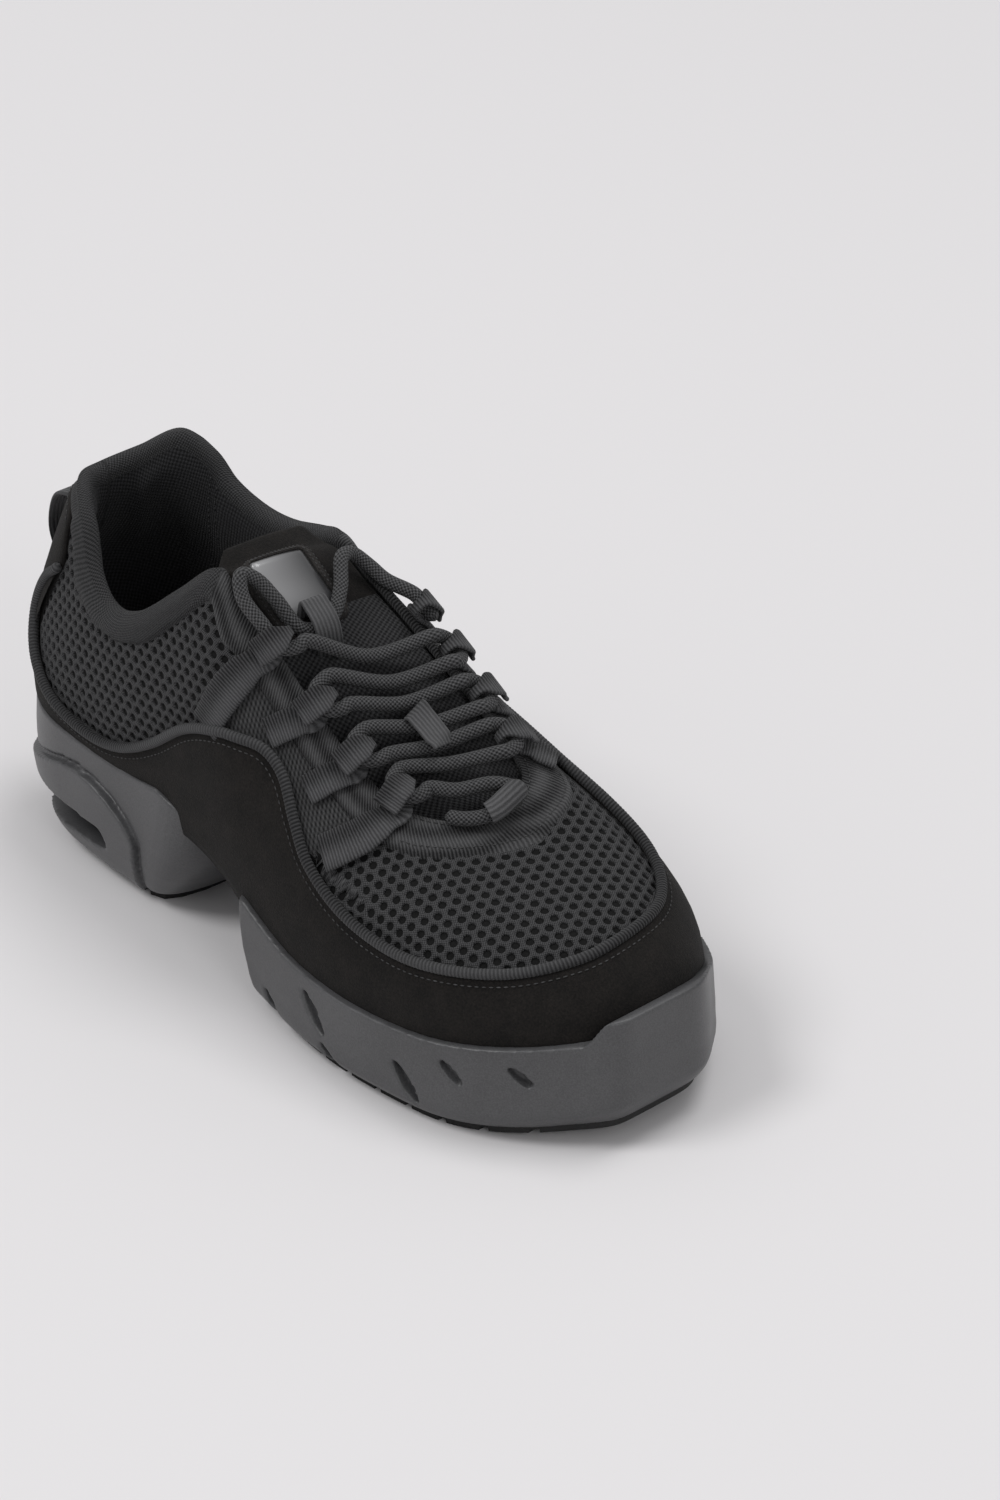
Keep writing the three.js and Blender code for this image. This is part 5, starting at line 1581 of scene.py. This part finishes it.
def make_badge():
    shares = np.linspace(*BADGE_ACROSS, 15)
    alongs = np.linspace(*BADGE_ALONG, 12)
    sections = []
    for row, share in enumerate(alongs):
        middle = np.array([tongue_place(share, across) for across in shares])
        edge = 0.25 if row in (0, len(alongs) - 1) else 1.0
        rim = np.full(len(shares), edge)
        rim[[0, -1]] = 0.25
        top = middle - DOWN * (0.3 + 1.1 * rim)[:, None]
        low = middle - DOWN * 0.25
        sections.append(np.vstack([top, low[::-1]]))
    points, faces = capped(np.array(sections))
    piece = make_piece("badge_plate", points, faces, [plate_look])
    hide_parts("badge")


make_badge()


def badge_border(out, steps):
    """Places round the plate, a distance out from its edge."""
    (left, right), (start, end) = BADGE_ACROSS, BADGE_ALONG
    width, length = (right - left) * 42.0, (end - start) * 90.0
    x, y = width / 2 + out, length / 2 + out
    corner = 1.6 + max(out, 0)
    points = []
    for turn, (sx, sy) in enumerate(((1, 1), (-1, 1), (-1, -1), (1, -1))):
        for angle in np.linspace(0, 90, 7):
            bearing = math.radians(turn * 90 + angle)
            turn_x, turn_y = corner * math.cos(bearing), corner * math.sin(bearing)
            points.append((sx * (x - corner) + turn_x, sy * (y - corner) + turn_y))
    points = resample(np.array(points + points[:1]), steps + 1)[:-1]
    middle_across, middle_along = (left + right) / 2, (start + end) / 2
    return [(middle_along + b / 90.0, middle_across + a / 42.0) for a, b in points]


def make_badge_frame():
    """A raised border of suede round the plate."""
    profile = [(0.1, 0.1), (0.2, 1.0), (0.7, 1.5), (1.9, 1.55)]
    profile += [(2.5, 1.1), (2.8, 0.1), (2.6, -0.6), (0.3, -0.6)]
    columns = []
    for out, rise in profile:
        columns.append([tongue_place(share, across) - DOWN * rise for share, across in badge_border(out, 96)])
    points, faces = closed_grid(np.transpose(np.array(columns), (1, 0, 2)), True)
    piece = make_piece("badge_frame", points, faces, [frame_look])


make_badge_frame()

# Soles: smooth forms from the same tables, cut and then rounded as a mould leaves them

LIP_GROW = ROOM_GAP + CUP_WALL
POD_REACH = 18.0
POD_END = POD_FRONT - TREAD_CENTRE
PLATFORM_REACH = 7.0
PLATFORM_START = FOREFOOT_REAR - TREAD_CENTRE
TOE_FACE = FOOT_START + FOOT_LENGTH + LIP_GROW
SPRING_START = 0.80 * SHOE_LENGTH - TREAD_CENTRE
SIDE_STEPS = 90
CORNER_STEPS = 14


def outline_side(side, start, end, start_reach, end_reach, grow):
    """Around, x and y of one side of a sole's outline, with a rounded corner at an end that has a reach."""

    def edge(place, which):
        return foot_point(which) + outward_at(which) * grow

    def turn(place):
        return place if side < 0 else 2 - place

    def middle(place):
        return (edge(place, place)[1] + edge(place, 2 - place)[1]) / 2

    rows = []
    angles = np.linspace(0, math.pi / 2, CORNER_STEPS + 1)[:-1]
    if start_reach > 0:
        corner = edge(start, turn(start))
        for angle in angles:
            y = mix(middle(start), corner[1], math.sin(angle) ** 0.7)
            rows.append((turn(start), corner[0] - start_reach * math.cos(angle) ** 0.7, y))
    for place in np.linspace(start, end, SIDE_STEPS + 1):
        x, y, _ = edge(place, turn(place))
        rows.append((turn(place), x, y))
    if end_reach > 0:
        corner = edge(end, turn(end))
        for angle in angles[::-1]:
            y = mix(middle(end), corner[1], math.sin(angle) ** 0.7)
            rows.append((turn(end), corner[0] + end_reach * math.cos(angle) ** 0.7, y))
    return rows


def outline(start, end, start_reach, end_reach, grow):
    outer = outline_side(-1, start, end, start_reach, end_reach, grow)
    inner = outline_side(1, start, end, start_reach, end_reach, grow)[1:-1][::-1]
    return np.array(outer + inner)


def stacked(rings):
    """Points and faces of rings one above another, closed straight across at both ends."""
    rows, count = rings.shape[:2]
    faces = grid_faces(rows, count, False, True).tolist()
    for row, turned in ((0, False), (rows - 1, True)):
        for j in range(count // 2):
            quad = [row * count + k % count for k in (j, j + 1, count - j - 1, count - j)]
            quad = list(dict.fromkeys(quad))
            if len(quad) > 2:
                faces.append(quad if turned else quad[::-1])
    return rings.reshape(-1, 3), faces


def working_mesh(name, points, faces):
    mesh = bpy.data.meshes.new(name)
    mesh.from_pydata((np.asarray(points) * MM).tolist(), [], faces)
    work = bmesh.new()
    work.from_mesh(mesh)
    bmesh.ops.remove_doubles(work, verts=work.verts, dist=1e-7)
    bmesh.ops.recalc_face_normals(work, faces=work.faces)
    work.to_mesh(mesh)
    work.free()
    made = bpy.data.objects.new(name, mesh)
    scene.collection.objects.link(made)
    return made


level_at = smooth_table(POD_ROWS)
flare_at = smooth_table(PLATFORM_ROWS)


def pod_form(extra, levels):
    ring = outline(0, around_of(POD_END - POD_REACH), 0, POD_REACH + extra, LIP_GROW + extra)
    x, y = ring[:, 1], ring[:, 2]
    lip = mix(HEEL_LIP, 0.3 * HEEL_LIP, ramp(x, POD_END - 1.3 * POD_REACH, POD_END))
    top = seat_height(x) + lip
    rings = []
    for level in levels:
        rear, front, side = level_at(level)
        height = mix(OUTSOLE + GAP, top, level)
        rings.append(np.stack([x * np.where(x > 0, front, rear), y * side, height], -1))
    return stacked(np.array(rings))


def rounded(x, y, share):
    """A ring's points eased toward their neighbours, where the share is 1."""
    place = np.stack([x, y], -1)
    for _ in range(16):
        eased = (np.roll(place, 1, 0) + 2 * place + np.roll(place, -1, 0)) / 4
        place = mix(place, eased, share[:, None])
    return place.T


REAR_SLANT = 10.0


def platform_form(extra, levels):
    rings = []
    for level in levels:
        flare = float(flare_at(level)[0])
        grow = LIP_GROW + flare * BALL_WIDTH + extra
        start = around_of(PLATFORM_START + PLATFORM_REACH)
        ring = outline(start, 1, PLATFORM_REACH + extra, 0, grow)
        around, x, y = ring.T
        bumper = ramp(around, 0.88, 0.945) * (1 - ramp(around, 1.045, 1.11))
        tall = ramp(around, 0.885, 0.915) * (1 - ramp(around, 1.06, 1.19))
        rear = ramp(x, PLATFORM_START - PLATFORM_REACH, PLATFORM_START + PLATFORM_REACH)
        lip = mix(FOREFOOT_LIP, BUMPER_LIP - 0.5, tall) * rear
        front = mix(x, TOE_FACE + flare * BALL_WIDTH + extra, bumper)
        front, y = rounded(front, y, ramp(fold(around), 0.84, 0.88))
        front = front + REAR_SLANT * (1 - level) ** 2 * (1 - ramp(x, PLATFORM_START, PLATFORM_START + 45))
        spring = TOE_SPRING * np.clip((front - SPRING_START) / (TOE_FACE - SPRING_START), 0, None) ** 2
        height = mix(OUTSOLE + GAP + spring, seat_height(x) + lip, level)
        rings.append(np.stack([front, y, height], -1))
    return stacked(np.array(rings))


ROOM_INSET = 0.8


def room_form():
    around = np.linspace(0, 2, 240, endpoint=False)
    start, _ = band_at(around)
    rings = [seat_point(around, np.full(len(around), ROOM_INSET), -GAP)]
    for share in (0.08, 0.14, 0.2, 0.27, 0.34, 0.4):
        up = share * start
        rings.append(surface(around, up, np.full(len(around), ROOM_INSET)))
    return stacked(np.array(rings))


def prism(shape, low, high):
    """A solid across the shoe from a closed side-view shape of x and z."""
    shape = np.asarray(shape, float)
    rings = [np.stack([shape[:, 0], np.full(len(shape), y), shape[:, 1]], -1) for y in (low, high)]
    return capped(np.array(rings))


SLOT_LENGTH = 56.0
SLOT_DEPTH = 24.0
SLOT_FRONT_RADIUS = 4.25
SLOT_REAR_RADIUS = 6.6


def slot_shape():
    tilt = math.radians(2)
    axis = np.array([math.cos(tilt), math.sin(tilt)])
    centre = np.array([-0.052 * SHOE_LENGTH, 0.455 * HEEL_SEAT])
    half = SLOT_LENGTH / 2 - SLOT_FRONT_RADIUS
    narrow = math.asin((SLOT_REAR_RADIUS - SLOT_FRONT_RADIUS) / (2 * half))
    front, rear = centre + axis * half, centre - axis * half
    shape = []
    for angle in np.linspace(tilt - math.pi / 2 + narrow, tilt + math.pi / 2 - narrow, 16):
        shape.append(front + SLOT_FRONT_RADIUS * np.array([math.cos(angle), math.sin(angle)]))
    for angle in np.linspace(tilt + math.pi / 2 - narrow, tilt + 1.5 * math.pi + narrow, 16):
        shape.append(rear + SLOT_REAR_RADIUS * np.array([math.cos(angle), math.sin(angle)]))
    return shape


def panel_shape(grow):
    """The raised panel's closed side view, or the same grown evenly by a distance."""
    shape = np.array(PANEL_ROWS) * [SHOE_LENGTH, HEEL_SEAT]
    ahead = np.roll(shape, -1, 0) - shape
    normals = unit(np.stack([ahead[:, 1], -ahead[:, 0]], -1))
    corner = normals + np.roll(normals, 1, 0)
    return shape + grow * 2 * corner / np.sum(corner**2, -1, keepdims=True)


SLASH_DEPTH = 2.8


def slash_form(along, up, length, lean, side):
    x = foot_x(along)
    around = around_of(x) if side < 0 else 2 - around_of(x)
    outward = outward_at(around)
    height = seat_height(x) + FOREFOOT_LIP
    place = foot_point(around) + outward * (LIP_GROW - SLASH_DEPTH)
    place[2] = up * height
    heelward = np.array([-abs(outward[1]), outward[0] * np.sign(outward[1]), 0.0])
    angle = math.radians(lean)
    lengthwise = heelward * math.cos(angle) + np.array([0.0, 0.0, 1.0]) * math.sin(angle)
    crosswise = np.cross(outward, lengthwise)
    t = np.linspace(0, 1, 10)
    low = np.stack([(t - 0.5) * length, -0.60 * length * t * (1 - t)], -1)
    high = np.stack([(0.5 - t) * length, 0.40 * length * t * (1 - t)], -1)[1:-1]
    leaf = np.vstack([low, high])
    rings = []
    for depth in (0.0, 10.0):
        rings.append(place + leaf[:, :1] * lengthwise + leaf[:, 1:] * crosswise + outward * depth)
    return capped(np.array(rings))


def cut(base, tool, operation):
    change = base.modifiers.new("cut", "BOOLEAN")
    change.object = tool
    change.operation = operation
    change.solver = "MANIFOLD"
    graph = bpy.context.evaluated_depsgraph_get()
    mesh = bpy.data.meshes.new_from_object(base.evaluated_get(graph))
    base.modifiers.clear()
    base.data = mesh
    bpy.data.objects.remove(tool)


def moulded(base, name, node, voxel, smoothing):
    """One closed skin with rounded edges from a cut form."""
    change = base.modifiers.new("skin", "REMESH")
    change.mode = "VOXEL"
    change.voxel_size = voxel * MM
    soften = base.modifiers.new("soften", "SMOOTH")
    soften.factor = 0.5
    soften.iterations = smoothing
    graph = bpy.context.evaluated_depsgraph_get()
    mesh = bpy.data.meshes.new_from_object(base.evaluated_get(graph))
    bpy.data.objects.remove(base)
    mesh.name = name
    mesh.materials.clear()
    mesh.materials.append(foam_look)
    mesh.polygons.foreach_set("use_smooth", np.ones(len(mesh.polygons), bool))
    piece = bpy.data.objects.new(name, mesh)
    scene.collection.objects.link(piece)
    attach(piece, "root")
    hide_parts(node)


def make_forefoot_tread():
    """The dark plate below the platform, with cross grooves that leave bars."""
    (ring, _) = platform_form(-1.5, [0.0])
    low, high = ring.copy(), ring.copy()
    spring = ring[:, 2] - OUTSOLE - GAP
    low[:, 2], high[:, 2] = spring, spring + OUTSOLE
    tread = working_mesh("tread", *stacked(np.array([low, high])))
    for along in (0.60, 0.645, 0.69, 0.735, 0.78, 0.825, 0.87, 0.915):
        x = foot_x(along)
        rise = TOE_SPRING * max(0, (x - SPRING_START) / (TOE_FACE - SPRING_START)) ** 2
        shape = [(x - 1.7, rise - 3), (x + 1.7, rise - 3), (x + 1.1, rise + 1.3), (x - 1.1, rise + 1.3)]
        cut(tread, working_mesh("groove", *prism(shape, -BALL_WIDTH, BALL_WIDTH)), "DIFFERENCE")
    tread.name = "forefoot_tread"
    tread.data.materials.clear()
    tread.data.materials.append(rubber_look)
    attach(tread, "root")
    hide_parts("outsole_forefoot")


PANEL_STEP = 1.9
PANEL_GROOVE = 1.5
GROOVE_DEPTH = 1.5


def make_heel_sole():
    levels = [0, 0.02, 0.05, 0.1, 0.16, 0.22, 0.3, 0.38, 0.45, 0.54, 0.62, 0.7, 0.8, 0.9, 1.0]
    pod = working_mesh("pod", *pod_form(0, levels))
    panel = working_mesh("panel", *pod_form(PANEL_STEP, levels))
    cut(panel, working_mesh("panel side", *prism(panel_shape(0), -BALL_WIDTH, BALL_WIDTH)), "INTERSECT")
    cut(pod, panel, "UNION")
    groove = working_mesh("groove", *prism(panel_shape(PANEL_GROOVE), -BALL_WIDTH, BALL_WIDTH))
    cut(groove, working_mesh("panel core", *prism(panel_shape(0), -SHOE_LENGTH, SHOE_LENGTH)), "DIFFERENCE")
    cut(groove, working_mesh("pod core", *pod_form(-GROOVE_DEPTH, levels)), "DIFFERENCE")
    cut(pod, groove, "DIFFERENCE")
    cut(pod, working_mesh("room", *room_form()), "DIFFERENCE")
    side = 0.39 * BALL_WIDTH
    cut(pod, working_mesh("outer slot", *prism(slot_shape(), -BALL_WIDTH, SLOT_DEPTH - side)), "DIFFERENCE")
    cut(pod, working_mesh("inner slot", *prism(slot_shape(), side - SLOT_DEPTH, BALL_WIDTH)), "DIFFERENCE")
    moulded(pod, "heel_foam", "midsole_heel", 0.66, 2)


def make_forefoot_sole():
    levels = [0, 0.03, 0.08, 0.15, 0.25, 0.35, 0.5, 0.7, 0.85, 1.0]
    platform = working_mesh("platform", *platform_form(0, levels))
    cut(platform, working_mesh("room", *room_form()), "DIFFERENCE")
    for along, up, length, lean in SLASH_ROWS:
        for side in (-1, 1):
            cut(platform, working_mesh("slash", *slash_form(along, up, length, lean, side)), "DIFFERENCE")
    moulded(platform, "forefoot_foam", "midsole_forefoot", 0.7, 3)


make_heel_sole()
make_forefoot_sole()
make_forefoot_tread()

# Stitches: one tree lays thread along any seam


def make_stitch_tree():
    tree = bpy.data.node_groups.new("stitch row", "GeometryNodeTree")
    sockets = [("Seam", "NodeSocketGeometry"), ("Pitch", FLOAT), ("Length", FLOAT), ("Radius", FLOAT)]
    sockets.append(("Thread", "NodeSocketMaterial"))
    made = {name: tree.interface.new_socket(name, in_out="INPUT", socket_type=kind) for name, kind in sockets}
    tree.interface.new_socket("Stitches", in_out="OUTPUT", socket_type="NodeSocketGeometry")
    given = tree.nodes.new("NodeGroupInput").outputs
    leave = tree.nodes.new("NodeGroupOutput").inputs
    line = add_node(tree, "GeometryNodeMeshToCurve", {"Mesh": given["Seam"]})
    inputs = {"Curve": line.outputs[0], "Length": given["Pitch"]}
    even = add_node(tree, "GeometryNodeResampleCurve", inputs, mode="LENGTH")
    ball = add_node(tree, "GeometryNodeMeshUVSphere", {"Segments": 6, "Rings": 5, "Radius": 1.0})
    along = tree.nodes.new("GeometryNodeInputTangent")
    turn = add_node(tree, "FunctionNodeAlignRotationToVector", {"Vector": along.outputs[0]}, axis="X")
    inputs = {0: given["Length"], 1: given["Radius"], 2: given["Radius"]}
    size = add_node(tree, "ShaderNodeCombineXYZ", inputs)
    inputs = {"Points": even.outputs[0], "Instance": ball.outputs[0]}
    inputs.update({"Rotation": turn.outputs[0], "Scale": size.outputs[0]})
    laid = add_node(tree, "GeometryNodeInstanceOnPoints", inputs)
    real = add_node(tree, "GeometryNodeRealizeInstances", {"Geometry": laid.outputs[0]})
    inputs = {"Geometry": real.outputs[0], "Material": given["Thread"]}
    done = add_node(tree, "GeometryNodeSetMaterial", inputs)
    tree.links.new(done.outputs[0], leave[0])
    return tree, {name: socket.identifier for name, socket in made.items()}


stitch_tree, stitch_sockets = make_stitch_tree()


def stitch(name, lines, pitch=2.3, length=1.55, radius=0.24):
    """Thread along lines of points, each a seam of its own."""
    points, edges = [], []
    for line in lines:
        first = len(points)
        points += [tuple(place * MM) for place in line]
        edges += [(first + i, first + i + 1) for i in range(len(line) - 1)]
    mesh = bpy.data.meshes.new(name)
    mesh.from_pydata(points, edges, [])
    seam = bpy.data.objects.new(name, mesh)
    scene.collection.objects.link(seam)
    change = seam.modifiers.new("stitches", "NODES")
    change.node_group = stitch_tree
    change[stitch_sockets["Pitch"]] = pitch * MM
    change[stitch_sockets["Length"]] = length / 2 * MM
    change[stitch_sockets["Radius"]] = radius * MM
    change[stitch_sockets["Thread"]] = thread_look
    graph = bpy.context.evaluated_depsgraph_get()
    sewn = bpy.data.meshes.new_from_object(seam.evaluated_get(graph))
    seam.modifiers.clear()
    seam.data = sewn
    sewn.polygons.foreach_set("use_smooth", np.ones(len(sewn.polygons), bool))
    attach(seam, "root")


def beside(around, up, distance, lift):
    """Places a distance below a line on the surface."""
    line = rib_point(around, up)
    run = unit(np.gradient(line, axis=0))
    normal = normal_at(around, up)
    return line + np.cross(run, normal) * distance + normal * lift


def make_seams():
    index = np.linspace(1.5, len(PIPING_ROWS) - 2.5, 900)
    _, around, up = line_at(index)
    stitch("suede_stitches", [beside(around, up, 3.6, SUEDE_OUT + 0.05)], 2.1, 1.45, 0.2)
    index = np.linspace(len(PIPING_ROWS) + 0.6, loop_count - 1.6, 200)
    _, around, up = line_at(index)
    stitch("heel_stitches", [beside(around, up, 2.4, SUEDE_OUT + 0.05)], 2.1, 1.45, 0.2)
    turn = np.linspace(0.745, 1.255, 300)
    start, step = band_at(turn)
    rows = [surface(turn, mix(start, 1, share), step + 0.12) for share in (0.16, 0.86)]
    stitch("throat_stitches", rows, 1.9, 1.3, 0.2)
    rise = np.linspace(0.95, 0.5, 60)
    rows = []
    for turn in (0.145, 0.165, 1.800, 1.820):
        place = np.full(60, turn)
        rows.append(surface(place, rise, -wall_depth(place, rise) - 0.1))
    stitch("lining_stitches", rows, 2.4, 1.5, 0.2)
    rows = []
    for out in (0.75, 2.15):
        border = badge_border(out, 120)
        closed = border + border[:1]
        rows.append(np.array([tongue_place(share, across) - DOWN * 1.62 for share, across in closed]))
    stitch("badge_stitches", rows, 1.5, 1.0, 0.16)


make_seams()

# Rigid pieces that keep their own solids

for node, look in (("outsole_heel", rubber_look), ("arch_cover", rubber_look), ("insole", sock_look)):
    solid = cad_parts[node]
    solid.data.materials.clear()
    solid.data.materials.append(look)

# Floor and light


def make_floor():
    mesh = bpy.data.meshes.new("floor")
    reach = 6.0
    corners = [(-reach, -reach, 0), (reach, -reach, 0), (reach, reach, 0), (-reach, reach, 0)]
    mesh.from_pydata(corners, [], [(0, 1, 2, 3)])
    floor = bpy.data.objects.new("floor", mesh)
    scene.collection.objects.link(floor)
    material, _, shader = start_material("pale floor", 0.9, specular=0.1)
    shader.inputs["Base Color"].default_value = (0.725, 0.712, 0.720, 1)
    mesh.materials.append(material)
    floor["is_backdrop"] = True


def make_light(name, place, aim, width, power):
    data = bpy.data.lights.new(name, "AREA")
    data.shape = "DISK"
    data.size = width
    data.energy = power
    light = bpy.data.objects.new(name, data)
    scene.collection.objects.link(light)
    direction = Vector(aim) - Vector(place)
    light.location = place
    light.rotation_euler = direction.to_track_quat("-Z", "Y").to_euler()


make_floor()
make_light("key", (-0.9, -2.2, 3.4), (0.09, 0, 0.04), 1.6, 62)
make_light("top", (0.4, 1.3, 4.0), (0.09, 0, 0.04), 2.0, 52)
make_light("front", (3.2, -0.9, 2.0), (0.09, 0, 0.04), 1.4, 16)
world = bpy.data.worlds.new("studio")
world.use_nodes = True
world.node_tree.nodes["Background"].inputs[0].default_value = (0.95, 0.95, 0.96, 1)
world.node_tree.nodes["Background"].inputs[1].default_value = 0.50
scene.world = world
scene.view_settings.view_transform = "Standard"

low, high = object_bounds()
